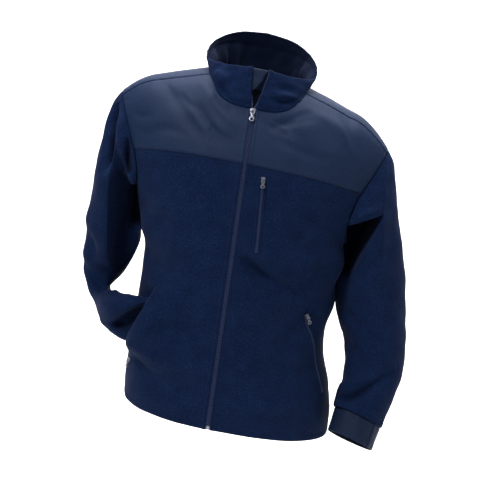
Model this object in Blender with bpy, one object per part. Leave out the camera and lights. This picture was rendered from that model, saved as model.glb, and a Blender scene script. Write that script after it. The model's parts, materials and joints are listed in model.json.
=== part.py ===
"""Zip-front fleece jacket in the hollow form it has when worn, with no wearer.

Units are metres, +Z is up, the front faces -Y and the wearer's left side is +X.
The origin is the middle of the neck opening, level with the neck ends of the shoulders.
Every cloth panel is a grid of points on one worked-out form, thickened inwards to a wall.
"""

import math

import bpy
import numpy as np

def table(names, *rows):
    """A short table as a dictionary: the column names in one string, then a row for each station."""
    return dict(zip(names.split(), np.array(rows, float).T))


# Cloth walls and the gap that two pieces keep at a seam
FLEECE = 0.0028
NYLON = 0.0024
COLLAR_WALL = 0.0046
GUARD_WALL = 0.0014
SEAM_GAP = 0.0003
LEAST_LEAN = 0.62
FOLD_FADE_ROWS = 6
SHARP_ANGLE = 40

# Heights on the body
NECK_FRONT_Z = -0.056
FRONT_LENGTH = 0.627
HEM_Z = NECK_FRONT_Z - FRONT_LENGTH
ARMPIT_Z = -0.295
YOKE_Z = -0.158
YOKE_DROP = 0.022
BACK_YOKE_Z = -0.150
LEFT_DROP = 0.055

# Plan sections are superellipses, and the shoulders roll over with their own power
SECTION_POWER = 2.4
ROLL_POWER = 2.4
CHEST_HALF = {1: 0.208, -1: 0.202}

# Neck opening and shoulders
NECK_HALF = 0.098
SHOULDER_SLOPE = 0.325
SHOULDER_ROUND = 6.3
SHOULDER_ROUND_FROM = 0.200
SHOULDER_SEAM_ROLL = 1.27
FRONT_NECK_ROLL = 0.889
FRONT_NECK_SQUARE = 1.5
BACK_NECK_ROLL = 1.06
NECK_SHARE_FRONT = 0.215
NECK_SHARE_BACK = 0.240

# Grid of a panel: columns from the centre line to the side, rows from the hem upwards
NECK_COLS = 6
SHOULDER_COLS = 8
COLS = NECK_COLS + SHOULDER_COLS
POCKET_COL = 9
MID_ROWS = 4
YOKE_FRONT_ROWS = 4
YOKE_BACK_ROWS = 8
CF_HALF_GAP = 0.0045

# Zips: half widths, and depths below the cloth's outer face (negative is above it)
CHAIN_HALF = 0.0033
CHAIN_DEPTHS = (0.0004, 0.0028)
TAPE_NEAR = 0.0002
TAPE_BEHIND = 0.0135
TAPE_DEPTHS = (0.0033, 0.0041)
COLLAR_CHAIN = (0.0003, 0.0030)
COLLAR_CHAIN_DEPTHS = (0.0010, 0.0034)
SMALL_CHAIN_HALF = 0.0024
SMALL_CHAIN_DEPTHS = (-0.0031, -0.0018)
SMALL_TAPE_HALF = 0.0055
SMALL_TAPE_DEPTHS = (-0.0014, -0.0008)
SMALL_STEPS = 3
MOUTH_CHAINS = table(
    "from to near far",
    (0.0003, 0.0027, 0.0006, 0.0022),
    (-0.0030, -0.0003, 0.0034, 0.0048),
)
BOX_LENGTH = 0.0080
BOX_HALF = 0.0040
BOX_DEPTHS = (0.0, 0.0030)
CHEST_ZIP = table(
    "x z",
    (0.0375, -0.176),
    (0.0454, -0.321),
)


# Body sections from hem to armpit: half widths to each side and depths to front and back
TORSO = table(
    "z left right front back",
    (HEM_Z, 0.241, 0.184, 0.158, 0.146),
    (-0.641, 0.240, 0.187, 0.163, 0.148),
    (-0.590, 0.230, 0.186, 0.164, 0.148),
    (-0.521, 0.209, 0.183, 0.160, 0.142),
    (-0.450, 0.203, 0.180, 0.155, 0.135),
    (-0.380, 0.207, 0.181, 0.154, 0.134),
    (-0.335, 0.2085, 0.192, 0.155, 0.137),
    (ARMPIT_Z, CHEST_HALF[1], CHEST_HALF[-1], 0.156, 0.140),
)
LOWER_ROWS = (HEM_Z, -0.641, -0.590, -0.549, -0.508, -0.467, -0.428, -0.395, -0.362, -0.330, ARMPIT_Z)
MOUTH_ROWS = (2, 6)

# Armhole seam by share of the height from armpit to shoulder: how much wider than the chest,
# and how much of the section's half width it cuts off at
ARMHOLE = table(
    "height left right share",
    (0.00, 0.000, 0.000, 1.000),
    (0.10, 0.001, 0.001, 0.965),
    (0.30, 0.006, 0.005, 0.907),
    (0.50, 0.017, 0.015, 0.890),
    (0.75, 0.041, 0.038, 0.910),
    (1.00, 0.066, 0.062, 0.930),
)

# Line of the hand pockets: share of the way from centre to side at each height
POCKET_LINE = table(
    "z share",
    (HEM_Z, 0.730),
    (-0.590, 0.724),
    (-0.549, 0.712),
    (-0.508, 0.676),
    (-0.467, 0.615),
    (-0.428, 0.532),
    (-0.395, 0.505),
    (ARMPIT_Z, 0.519),
)

# Lip of the open right pocket, pushed out by the forearm in it: its move sideways and forwards
LIP = table(
    "z across forward",
    (HEM_Z, 0.000, 0.000),
    (-0.641, 0.000, 0.002),
    (-0.590, 0.002, 0.011),
    (-0.549, 0.015, 0.046),
    (-0.508, 0.009, 0.057),
    (-0.467, 0.001, 0.043),
    (-0.428, -0.001, 0.013),
    (-0.395, 0.000, 0.002),
    (-0.362, 0.000, 0.000),
)
LIP_INNER_FADE = 6
LIP_OUTER_FADE = 3

# Soft folds: a ridge or trough along a line from one point to another, its width and its height
FOLDS = table(
    "x0 y0 z0 x1 y1 z1 width height",
    (0.190, -0.080, -0.640, 0.150, -0.120, -0.540, 0.030, 0.0050),
    (0.205, -0.040, -0.400, 0.120, -0.135, -0.450, 0.028, -0.0060),
    (-0.190, -0.050, -0.360, -0.110, -0.140, -0.420, 0.026, -0.0050),
    (0.200, -0.060, -0.330, 0.150, -0.125, -0.270, 0.022, 0.0045),
    (-0.200, -0.060, -0.330, -0.150, -0.125, -0.270, 0.022, 0.0045),
    (0.200, 0.060, -0.340, 0.130, 0.115, -0.270, 0.026, 0.0050),
    (-0.200, 0.060, -0.340, -0.130, 0.115, -0.270, 0.026, 0.0050),
    (0.170, 0.090, -0.420, 0.040, 0.135, -0.450, 0.030, -0.0060),
    (-0.160, 0.090, -0.430, -0.030, 0.135, -0.470, 0.030, -0.0050),
    (0.345, -0.020, -0.440, 0.240, -0.040, -0.500, 0.022, -0.0050),
    (0.350, -0.030, -0.560, 0.240, -0.090, -0.610, 0.018, 0.0060),
    (0.300, -0.070, -0.300, 0.240, -0.080, -0.350, 0.022, -0.0050),
    (-0.290, -0.030, -0.330, -0.215, -0.060, -0.390, 0.022, 0.0060),
    (-0.300, 0.010, -0.420, -0.225, -0.040, -0.430, 0.018, -0.0070),
    (-0.285, -0.010, -0.480, -0.225, -0.060, -0.460, 0.018, 0.0060),
)

# Sleeves, as stations with the inner and outer point of the ring and half its depth.
# Both are given for +X; the right sleeve is mirrored, bent, and ends inside the pocket.
LEFT_SLEEVE = table(
    "ix iy iz ox oy oz depth",
    (0.2080, 0.000, -0.306, 0.270, 0.000, -0.103, 0.082),
    (0.2105, -0.001, -0.312, 0.285, 0.001, -0.128, 0.086),
    (0.2118, -0.001, -0.320, 0.298, 0.002, -0.170, 0.088),
    (0.2115, -0.002, -0.334, 0.311, 0.003, -0.219, 0.088),
    (0.2105, -0.002, -0.357, 0.326, 0.005, -0.271, 0.086),
    (0.2110, 0.000, -0.390, 0.342, 0.007, -0.326, 0.083),
    (0.2170, 0.003, -0.430, 0.3545, 0.008, -0.382, 0.079),
    (0.2300, 0.001, -0.468, 0.364, 0.003, -0.436, 0.074),
    (0.2450, -0.010, -0.505, 0.3715, -0.010, -0.486, 0.069),
    (0.2535, -0.025, -0.542, 0.3735, -0.027, -0.533, 0.064),
    (0.2530, -0.042, -0.575, 0.366, -0.045, -0.577, 0.060),
    (0.2440, -0.057, -0.602, 0.354, -0.060, -0.620, 0.056),
    (0.2430, -0.068, -0.625, 0.342, -0.072, -0.656, 0.052),
)
RIGHT_SLEEVE = table(
    "ix iy iz ox oy oz depth",
    (0.2020, 0.000, -0.284, 0.264, 0.000, -0.074, 0.082),
    (0.2045, 0.000, -0.291, 0.280, 0.001, -0.100, 0.086),
    (0.2060, 0.001, -0.300, 0.290, 0.003, -0.150, 0.088),
    (0.2060, 0.002, -0.315, 0.295, 0.006, -0.205, 0.086),
    (0.2040, 0.004, -0.338, 0.298, 0.011, -0.262, 0.081),
    (0.2030, 0.007, -0.368, 0.3005, 0.018, -0.318, 0.074),
    (0.2095, 0.009, -0.398, 0.300, 0.027, -0.368, 0.063),
    (0.2200, 0.008, -0.424, 0.297, 0.038, -0.414, 0.053),
    (0.2320, 0.002, -0.446, 0.289, 0.044, -0.458, 0.046),
    (0.2380, -0.012, -0.464, 0.273, 0.040, -0.508, 0.043),
    (0.2310, -0.036, -0.470, 0.255, 0.012, -0.533, 0.042),
    (0.2160, -0.066, -0.465, 0.238, -0.026, -0.540, 0.040),
    (0.1980, -0.094, -0.456, 0.216, -0.066, -0.543, 0.034),
    (0.1760, -0.113, -0.449, 0.192, -0.096, -0.544, 0.027),
    (0.1500, -0.121, -0.447, 0.166, -0.110, -0.544, 0.021),
)
CUFF_LENGTH = 0.048
CUFF_ROWS = 2
CUFF_STEP = 0.955
CUFF_TAPER = 0.045
RINGS_BETWEEN = 1
SEAM_FADE_STATIONS = 3.5

# Collar rim: its half width, its reach to front and back, and its height by the turn from the front
RIM_HALF = 0.110
RIM_SHIFT = 0.004
RIM_FRONT_Y = -0.094
RIM_BACK_Y = 0.082
RIM = table(
    "turn z",
    (0, 0.021),
    (40, 0.015),
    (72, 0.016),
    (95, 0.034),
    (125, 0.060),
    (155, 0.078),
    (180, 0.083),
)
COLLAR_ROWS = 5
COLLAR_BULGE = 0.004
OPEN_LEFT = 0.0180
OPEN_RIGHT = 0.0090
GUARD_REACH = 0.020
GUARD_EASE = 0.0004

MATERIALS = {
    "fleece": ((0.008, 0.014, 0.052), 0.95, 0.0),
    "nylon": ((0.022, 0.034, 0.090), 0.60, 0.0),
    "tape": ((0.008, 0.013, 0.040), 0.85, 0.0),
    "teeth": ((0.030, 0.040, 0.085), 0.45, 0.0),
    "metal": ((0.26, 0.26, 0.29), 0.35, 1.0),
}


def smooth(x, xs, ys):
    """A curve through a table's points, in cubic pieces whose slopes never overshoot."""
    x = np.clip(x, xs[0], xs[-1])
    step = np.diff(xs)
    rise = np.diff(ys) / step
    slope = np.concatenate([rise[:1], np.zeros(len(rise) - 1), rise[-1:]])
    before, after = rise[:-1], rise[1:]
    same = before * after > 0
    slope[1:-1][same] = (2 * before * after)[same] / (before + after)[same]
    i = np.clip(np.searchsorted(xs, x, side="right") - 1, 0, len(step) - 1)
    t = (x - xs[i]) / step[i]
    start = (2 * t**3 - 3 * t**2 + 1) * ys[i] + (t**3 - 2 * t**2 + t) * step[i] * slope[i]
    end = (3 * t**2 - 2 * t**3) * ys[i + 1] + (t**3 - t**2) * step[i] * slope[i + 1]
    return start + end


def unit(v):
    return v / np.maximum(np.linalg.norm(v, axis=-1, keepdims=True), 1e-12)


def ease(t):
    t = np.clip(t, 0, 1)
    return t * t * (3 - 2 * t)


def lower_form(side, face, share, z):
    """The body below the armpits: share runs from the centre line to the side seam, face is -1 or 1."""
    half = smooth(z, TORSO["z"], TORSO["left" if side > 0 else "right"])
    deep = np.where(face < 0, smooth(z, TORSO["z"], TORSO["front"]), smooth(z, TORSO["z"], TORSO["back"]))
    angle = share * math.pi / 2
    x = side * half * np.sin(angle) ** (2 / SECTION_POWER)
    y = face * deep * np.maximum(np.cos(angle), 0) ** (2 / SECTION_POWER)
    return np.stack([x, y, z - LEFT_DROP * x], -1)


def section_end(side, height):
    """Where the armhole cuts a section: the section's half width and the angle at the cut."""
    cut = smooth(height, ARMHOLE["height"], ARMHOLE["share"])
    wider = smooth(height, ARMHOLE["height"], ARMHOLE["left" if side > 0 else "right"])
    half = (CHEST_HALF[side] + wider) / cut
    return half, np.arcsin(np.minimum(cut, 1) ** (SECTION_POWER / 2))


def ridge_z(x):
    """Height of the shoulder's ridge at a distance from the centre."""
    beyond = np.maximum(x - SHOULDER_ROUND_FROM, 0)
    return -SHOULDER_SLOPE * np.maximum(x - NECK_HALF, 0) - SHOULDER_ROUND * beyond**2


def top_z(side, share):
    half, end = section_end(side, np.ones_like(share))
    return ridge_z(half * np.sin(share * end) ** (2 / SECTION_POWER))


def upper_form(side, face, share, roll):
    """The body above the armpits: roll runs from 0 there to a right angle on the shoulder's ridge."""
    height = np.sin(roll) ** (2 / ROLL_POWER)
    deep = np.where(face < 0, TORSO["front"][-1], TORSO["back"][-1])
    deep = deep * np.maximum(np.cos(roll), 0) ** (2 / ROLL_POWER)
    half, end = section_end(side, height)
    x = side * half * np.sin(share * end) ** (2 / SECTION_POWER)
    y = face * deep * np.cos(share * end) ** (2 / SECTION_POWER)
    z = ARMPIT_Z + (top_z(side, share) - ARMPIT_Z) * height
    return np.stack([x, y, z - LEFT_DROP * x], -1)


def roll_at(side, share, z):
    """The roll at which the form reaches a height, before the drop of the wearer's left side."""
    height = (z - ARMPIT_Z) / (top_z(side, share) - ARMPIT_Z)
    return np.arcsin(np.clip(height, 0, 1) ** (ROLL_POWER / 2))


def columns(neck_share, neck_cols, shoulder_cols):
    """Shares of the columns, closer together along the neck, and each one's angle on the neck curve."""
    turn = np.linspace(0, math.pi / 2, neck_cols + 1)
    shares = np.concatenate([neck_share * np.sin(turn), np.linspace(neck_share, 1, shoulder_cols + 1)[1:]])
    return shares, np.concatenate([turn, np.full(shoulder_cols, math.pi / 2)])


def pocket_warp(shares, z, pocket_share):
    """Moves the columns sideways below the armpits so that one of them follows the hand pocket."""
    line = smooth(z, POCKET_LINE["z"], POCKET_LINE["share"])
    inside = shares * line / pocket_share
    outside = 1 - (1 - shares) * (1 - line) / (1 - pocket_share)
    return np.where(shares <= pocket_share, inside, outside)


def lower_rows(side, face, shares, heights, pocket_share):
    z = np.array(heights)[:, None] + 0 * shares[None, :]
    return lower_form(side, face, pocket_warp(shares[None, :] + 0 * z, z, pocket_share), z)


def middle_rows(side, face, shares, seam_roll, rows):
    """Rows from the armpit to the yoke seam, evenly spaced in height."""
    top = np.sin(seam_roll) ** (2 / ROLL_POWER)
    height = np.linspace(0, 1, rows + 1)[1:, None] * top[None, :]
    return upper_form(side, face, shares[None, :] + 0 * height, np.arcsin(height ** (ROLL_POWER / 2)))


def front_grid(side, neck_cols=NECK_COLS, shoulder_cols=SHOULDER_COLS, heights=LOWER_ROWS,
               mid_rows=MID_ROWS, yoke_rows=YOKE_FRONT_ROWS):
    """One front from hem to shoulder seam, with the yoke's rows on top."""
    shares, turn = columns(NECK_SHARE_FRONT, neck_cols, shoulder_cols)
    pocket = shares[POCKET_COL * neck_cols // NECK_COLS]
    seam = roll_at(side, shares, YOKE_Z - YOKE_DROP * shares**2)
    top = FRONT_NECK_ROLL + (SHOULDER_SEAM_ROLL - FRONT_NECK_ROLL) * (1 - np.cos(turn)) ** FRONT_NECK_SQUARE
    roll = seam + (top - seam) * np.linspace(0, 1, yoke_rows + 1)[1:, None]
    return np.concatenate([
        lower_rows(side, -1.0, shares, heights, pocket),
        middle_rows(side, -1.0, shares, seam, mid_rows),
        upper_form(side, -1.0, shares[None, :] + 0 * roll, roll),
    ])


def back_half(side, neck_cols=NECK_COLS, shoulder_cols=SHOULDER_COLS, heights=LOWER_ROWS,
              mid_rows=MID_ROWS, yoke_rows=YOKE_BACK_ROWS):
    """One half of the back from the hem over the shoulder's ridge to the shoulder seam in front."""
    shares, turn = columns(NECK_SHARE_BACK, neck_cols, shoulder_cols)
    front_shares, _ = columns(NECK_SHARE_FRONT, neck_cols, shoulder_cols)
    pocket = front_shares[POCKET_COL * neck_cols // NECK_COLS]
    seam = roll_at(side, shares, BACK_YOKE_Z - YOKE_DROP * shares**2)
    last = math.pi - SHOULDER_SEAM_ROLL
    top = BACK_NECK_ROLL + (last - BACK_NECK_ROLL) * (1 - np.cos(turn))
    roll = seam + (top - seam) * np.linspace(0, 1, yoke_rows + 1)[1:, None]
    over = ease((roll - BACK_NECK_ROLL) / (last - BACK_NECK_ROLL))
    share = shares + (front_shares - shares) * over
    face = np.where(roll > math.pi / 2, -1.0, 1.0)
    roll = np.where(roll > math.pi / 2, math.pi - roll, roll)
    return np.concatenate([
        lower_rows(side, 1.0, shares, heights, pocket),
        middle_rows(side, 1.0, shares, seam, mid_rows),
        upper_form(side, face, share, roll),
    ])


def grid_normals(points, sign=1.0, wrap=False):
    """Unit normals of a grid of points, by differences along its rows and columns."""
    if wrap:
        across = np.roll(points, -1, 1) - np.roll(points, 1, 1)
    else:
        across = np.gradient(points, axis=1)
    return sign * unit(np.cross(across, np.gradient(points, axis=0)))


def share_normals(first, second):
    """Gives two edges that meet at a seam one normal between them."""
    both = unit(first + second)
    first[:] = both
    second[:] = both


def folded(points, normals):
    """Points moved along their normals by the folds near them."""
    height = np.zeros(points.shape[:-1])
    for x0, y0, z0, x1, y1, z1, width, rise in zip(*FOLDS.values()):
        start, line = np.array([x0, y0, z0]), np.array([x1 - x0, y1 - y0, z1 - z0])
        along = np.clip((points - start) @ line / (line @ line), 0, 1)
        away = np.linalg.norm(points - start - along[..., None] * line, axis=-1)
        height += rise * np.exp(-((away / width) ** 2))
    return points + height[..., None] * normals


class Body:
    """The points and normals of both fronts and the back, which share every seam's points."""

    def __init__(self):
        self.front = {side: front_grid(side) for side in (1, -1)}
        left, right = back_half(1), back_half(-1)
        self.back = np.concatenate([right[:, :0:-1], left], 1)
        self.find_normals()
        for side in (1, -1):
            self.front[side] = folded(self.front[side], self.normal[side])
        self.back = folded(self.back, self.back_normal)
        self.find_normals()

    def find_normals(self):
        self.normal = {side: grid_normals(self.front[side], side) for side in (1, -1)}
        self.back_normal = grid_normals(self.back, -1.0)
        armpit = len(LOWER_ROWS)
        for side in (1, -1):
            edge = -1 if side > 0 else 0
            share_normals(self.normal[side][:armpit, -1], self.back_normal[:armpit, edge])
            seam = slice(NECK_COLS, None)
            if side > 0:
                share_normals(self.normal[side][-1, seam], self.back_normal[-1, COLS + NECK_COLS:])
            else:
                share_normals(self.normal[side][-1, seam], self.back_normal[-1, COLS - NECK_COLS::-1])

    def armhole(self, side):
        """Points and normals round an armhole: armpit, up the front, over the shoulder, down the back."""
        first = len(LOWER_ROWS) - 1
        edge = -1 if side > 0 else 0
        points = [self.front[side][first:, -1], self.back[first + 1:-1, edge][::-1]]
        normals = [self.normal[side][first:, -1], self.back_normal[first + 1:-1, edge][::-1]]
        return np.concatenate(points), np.concatenate(normals)

    def neckline(self):
        """Points round the neck from the left front edge over the back to the right front edge."""
        cols = NECK_COLS
        left = self.front[1][-1, : cols + 1]
        right = self.front[-1][-1, : cols + 1]
        back = self.back[-1, COLS - cols: COLS + cols + 1]
        return np.concatenate([left, back[::-1][1:-1], right[::-1]])


def station_frames(rows, per_step):
    """Ring centres and half axes at the table's stations and between them."""
    count = len(rows["ix"])
    at = np.linspace(0, count - 1, (count - 1) * (per_step + 1) + 1)
    value = {name: smooth(at, np.arange(count, dtype=float), column) for name, column in rows.items()}
    inner = np.stack([value["ix"], value["iy"], value["iz"]], -1)
    outer = np.stack([value["ox"], value["oy"], value["oz"]], -1)
    centre, across = (inner + outer) / 2, (outer - inner) / 2
    forward = unit(np.cross(np.gradient(centre, axis=0), across)) * value["depth"][:, None]
    return at, centre, across, forward


def ring_points(frame, angles):
    """Elliptical rings: angle 0 is the inner point, a right angle is the front."""
    _, centre, across, forward = frame
    cosine, sine = np.cos(angles)[None, :, None], np.sin(angles)[None, :, None]
    return centre[:, None] - across[:, None] * cosine + forward[:, None] * sine


def sleeve_grid(side, rows, loop, per_step=RINGS_BETWEEN):
    """Rings of a sleeve, from the armhole's own points to the table's ellipses."""
    mirror = np.array([side, 1.0, 1.0])
    frame = station_frames(rows, per_step)
    at, centre, across, forward = frame
    rest = loop * mirror - centre[0]
    angles = np.arctan2(rest @ forward[0] / (forward[0] @ forward[0]),
                        -(rest @ across[0]) / (across[0] @ across[0]))
    rings = ring_points(frame, angles)
    left_over = loop * mirror - rings[0]
    fade = (1 - ease(at / SEAM_FADE_STATIONS))[:, None, None]
    return (rings + left_over * fade) * mirror, angles


def cuff_rings(frame, angles):
    """Rings of the cuff, a step narrower than the sleeve's end and going on in its direction."""
    _, centre, across, forward = (part[-1:] for part in frame)
    onward = unit(frame[1][-1] - frame[1][-2])
    step = np.linspace(0, 1, CUFF_ROWS + 1)[:, None]
    size = CUFF_STEP - CUFF_TAPER * step
    place = centre + onward * (3 * SEAM_GAP + CUFF_LENGTH * step)
    return ring_points((step, place, across * size, forward * size), angles)


def thicken(points, offsets, quads):
    """Closed mesh of a sheet: its outer points, the same points moved by the offsets, and its rims."""
    count = len(points)
    edges = {(q[i], q[(i + 1) % 4]) for q in quads for i in range(4)}
    rims = [(b, a, a + count, b + count) for a, b in edges if (b, a) not in edges]
    inner = [tuple(i + count for i in reversed(q)) for q in quads]
    return np.concatenate([points, points + offsets]), list(quads) + inner + sorted(rims)


def grid_quads(rows, cols, flip, wrap=False):
    quads = []
    for r in range(rows - 1):
        for c in range(cols if wrap else cols - 1):
            d = (c + 1) % cols
            quad = (r * cols + c, r * cols + d, (r + 1) * cols + d, (r + 1) * cols + c)
            quads.append(tuple(reversed(quad)) if flip else quad)
    return quads


def inset(points, edges):
    """Moves the named edges of a grid inwards by half a seam gap."""
    moved = points.copy()
    places = {
        "bottom": (np.s_[0, :], np.s_[1, :]),
        "top": (np.s_[-1, :], np.s_[-2, :]),
        "first": (np.s_[:, 0], np.s_[:, 1]),
        "last": (np.s_[:, -1], np.s_[:, -2]),
    }
    for edge in edges:
        at, towards = places[edge]
        moved[at] += unit(points[towards] - points[at]) * SEAM_GAP / 2
    return moved


def material(name):
    made = bpy.data.materials.get(name)
    if made is None:
        colour, rough, metal = MATERIALS[name]
        made = bpy.data.materials.new(name)
        made.use_nodes = True
        shader = made.node_tree.nodes["Principled BSDF"]
        shader.inputs["Base Color"].default_value = (*colour, 1)
        shader.inputs["Roughness"].default_value = rough
        shader.inputs["Metallic"].default_value = metal
        made.diffuse_color = (*colour, 1)
    return made


def add_mesh(name, points, faces, material_name, origin=(0, 0, 0), shaded=True):
    """One object from points and faces, with its own origin."""
    mesh = bpy.data.meshes.new(name)
    mesh.from_pydata((np.asarray(points) - np.asarray(origin)).tolist(), [], faces)
    mesh.materials.append(material(material_name))
    if shaded:
        mesh.shade_smooth()
        mesh.set_sharp_from_angle(angle=math.radians(SHARP_ANGLE))
    obj = bpy.data.objects.new(name, mesh)
    obj.location = origin
    bpy.context.scene.collection.objects.link(obj)
    return obj


def add_panel(name, points, offsets, edges, flip, material_name, wrap=False):
    """A cloth panel from a grid, its seams drawn back by half a gap."""
    rows, cols = points.shape[:2]
    points = inset(points, edges)
    verts, faces = thicken(points.reshape(-1, 3), offsets.reshape(-1, 3), grid_quads(rows, cols, flip, wrap))
    return add_mesh(name, verts, faces, material_name)


def seam_offsets(body_normals, sleeve_normals, into_sleeve):
    """Inward offsets of the body and the sleeve at each point of the armhole.

    On a ridge both walls share a mitre. In a valley each wall keeps its own side, half a gap away.
    """
    middle = unit(body_normals + sleeve_normals)
    lean = np.maximum(np.sum(middle * body_normals, -1, keepdims=True), LEAST_LEAN)
    ridge = np.sum(into_sleeve * body_normals, -1, keepdims=True) < 0
    return [np.where(ridge, -middle * FLEECE / lean, -own * FLEECE) for own in (body_normals, sleeve_normals)]


def build_sleeve(side, body):
    """A sleeve, its cuff and the offsets that it shares with the body at the armhole."""
    name = "left" if side > 0 else "right"
    loop, loop_normals = body.armhole(side)
    rows = LEFT_SLEEVE if side > 0 else RIGHT_SLEEVE
    points, angles = sleeve_grid(side, rows, loop)
    normals = grid_normals(points, -side, wrap=True)
    keep = ease(np.arange(len(points)) / FOLD_FADE_ROWS)[:, None, None]
    points = points + (folded(points, normals) - points) * keep
    normals = grid_normals(points, -side, wrap=True)
    body_offsets, sleeve_offsets = seam_offsets(loop_normals, normals[0], points[1] - points[0])
    offsets = -normals * FLEECE
    offsets[0] = sleeve_offsets
    points[0] -= normals[0] * SEAM_GAP / 2
    add_panel(f"sleeve_{name}", points, offsets, ("bottom",), side > 0, "fleece", wrap=True)
    cuff = cuff_rings(station_frames(rows, 0), angles) * np.array([side, 1.0, 1.0])
    cuff_normals = grid_normals(cuff, -side, wrap=True)
    add_panel(f"cuff_{name}", cuff, -cuff_normals * NYLON, (), side > 0, "nylon", wrap=True)
    return body_offsets


def lift_lip(points):
    """The right front's points with the pocket's lip pushed out, fading away from the mouth."""
    z = np.array(LOWER_ROWS)
    push = np.stack([-smooth(z, LIP["z"], LIP["across"]), -smooth(z, LIP["z"], LIP["forward"]), 0 * z], -1)
    col = np.arange(points.shape[1])
    inside = ease(1 - (POCKET_COL - col) / LIP_INNER_FADE)
    outside = ease(1 - (col - POCKET_COL) / LIP_OUTER_FADE)
    near = np.where(col <= POCKET_COL, inside, outside)
    lifted = points.copy()
    lifted[: len(z)] += push[:, None] * near[None, :, None]
    mouth = np.s_[MOUTH_ROWS[0] + 1: MOUTH_ROWS[1], POCKET_COL + 1:]
    lifted[mouth] = points[mouth]
    return lifted


def build_front(side, body, seam):
    """A front below the yoke and the yoke above it."""
    name = "left" if side > 0 else "right"
    points, normals = body.front[side].copy(), body.normal[side]
    points[:, 0, 0] = side * CF_HALF_GAP
    split = len(points) - 1 - YOKE_FRONT_ROWS
    first = len(LOWER_ROWS) - 1
    offsets = -normals * FLEECE
    offsets[first:, -1] = seam[: len(points) - first]
    yoke_offsets = -normals * NYLON
    yoke_offsets[first:, -1] = seam[: len(points) - first] * (NYLON / FLEECE)
    yoke = np.s_[split:]
    add_panel(f"yoke_front_{name}", points[yoke], yoke_offsets[yoke], ("bottom", "top", "last"),
              side < 0, "nylon")
    lower = points[: split + 1]
    if side > 0:
        add_panel("front_left", lower, offsets[: split + 1], ("top", "last"), False, "fleece")
        return lower
    lifted = lift_lip(lower)
    turned = grid_normals(lifted[:, : POCKET_COL + 1], side)
    lip_offsets = offsets[: split + 1].copy()
    lip_offsets[:, : POCKET_COL + 1] = -turned * FLEECE
    add_slit_panel("front_right", inset(lifted, ("top", "last")), lip_offsets,
                   lower, offsets[: split + 1], "fleece")
    return lifted


def add_slit_panel(name, points, offsets, flat, flat_offsets, material_name):
    """A panel with a slit along the pocket's column: the slit's outer edge keeps the flat points."""
    rows, cols = points.shape[:2]
    inner_rows = list(range(MOUTH_ROWS[0] + 1, MOUTH_ROWS[1]))
    copies = {row * cols + POCKET_COL: rows * cols + i for i, row in enumerate(inner_rows)}
    quads = []
    for quad in grid_quads(rows, cols, True):
        if max(i % cols for i in quad) > POCKET_COL:
            quad = tuple(copies.get(i, i) for i in quad)
        quads.append(quad)
    extra = np.s_[inner_rows[0]: inner_rows[-1] + 1, POCKET_COL]
    every = np.concatenate([points.reshape(-1, 3), flat[extra]])
    moves = np.concatenate([offsets.reshape(-1, 3), flat_offsets[extra]])
    verts, faces = thicken(every, moves, quads)
    add_mesh(name, verts, faces, material_name)


def build_back(body, seams):
    """The back below its yoke, and the yoke over both shoulders."""
    points, normals = body.back, body.back_normal
    split = len(points) - 1 - YOKE_BACK_ROWS
    first = len(LOWER_ROWS) - 1
    for part, wall, rows, edges, colour in (
        ("back", FLEECE, np.s_[: split + 1], ("top", "first", "last"), "fleece"),
        ("yoke_back", NYLON, np.s_[split:], ("bottom", "first", "last"), "nylon"),
    ):
        offsets = -normals * wall
        for side, edge in ((1, -1), (-1, 0)):
            down = np.concatenate([seams[side][:1], seams[side][:len(seams[side]) - len(points) + first:-1]])
            offsets[first:, edge] = down * (wall / FLEECE)
        piece = inset(points[rows], edges)
        if part == "yoke_back":
            draw_back_shoulders(piece)
        verts, faces = thicken(piece.reshape(-1, 3), offsets[rows].reshape(-1, 3),
                               grid_quads(*piece.shape[:2], True))
        add_mesh(part, verts, faces, colour)


def draw_back_shoulders(piece):
    """Draws the yoke's last row back from the shoulder seams."""
    for cols in (np.s_[: COLS - NECK_COLS + 1], np.s_[COLS + NECK_COLS:]):
        piece[-1, cols] += unit(piece[-2, cols] - piece[-1, cols]) * SEAM_GAP / 2


def collar_grid(base, rows=COLLAR_ROWS):
    """The stand collar from the neckline to its rim, open in a V at the front."""
    turn = np.linspace(0, 2 * math.pi, len(base))
    middle = (RIM_FRONT_Y + RIM_BACK_Y) / 2
    reach = (RIM_BACK_Y - RIM_FRONT_Y) / 2
    rim_x = RIM_SHIFT * (1 - np.cos(turn)) / 2 + RIM_HALF * np.sin(turn)
    rim_x[0], rim_x[-1] = OPEN_LEFT, -OPEN_RIGHT
    degrees = np.degrees(np.minimum(turn, 2 * math.pi - turn))
    rim_z = smooth(degrees, RIM["turn"], RIM["z"]) - LEFT_DROP * rim_x
    rim = np.stack([rim_x, middle - reach * np.cos(turn), rim_z], -1)
    t = np.linspace(0, 1, rows + 1)[:, None, None]
    out = unit(rim * [1, 1, 0] - [0, middle, 0])
    return base + (rim - base) * t + out * COLLAR_BULGE * 4 * t * (1 - t)


def build_collar(body):
    base = body.neckline()
    base[0, 0], base[-1, 0] = CF_HALF_GAP, -CF_HALF_GAP
    points = collar_grid(base)
    normals = grid_normals(points, 1.0)
    lift = unit(points[1] - points[0]) * SEAM_GAP
    points[0] += lift
    verts, faces = thicken(points.reshape(-1, 3), (-normals * COLLAR_WALL).reshape(-1, 3),
                           grid_quads(*points.shape[:2], False))
    add_mesh("collar", verts, faces, "fleece")
    return points, normals


def facing_out(points, faces):
    """The same faces, turned round if they face into the solid."""
    volume = sum(np.linalg.det(points[[f[0], f[i], f[i + 1]]]) for f in faces for i in range(1, len(f) - 1))
    return faces if volume > 0 else [tuple(reversed(f)) for f in faces]


def add_solid(name, points, faces, material_name, origin=(0, 0, 0)):
    return add_mesh(name, points, facing_out(points, faces), material_name, origin, shaded=False)


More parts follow.
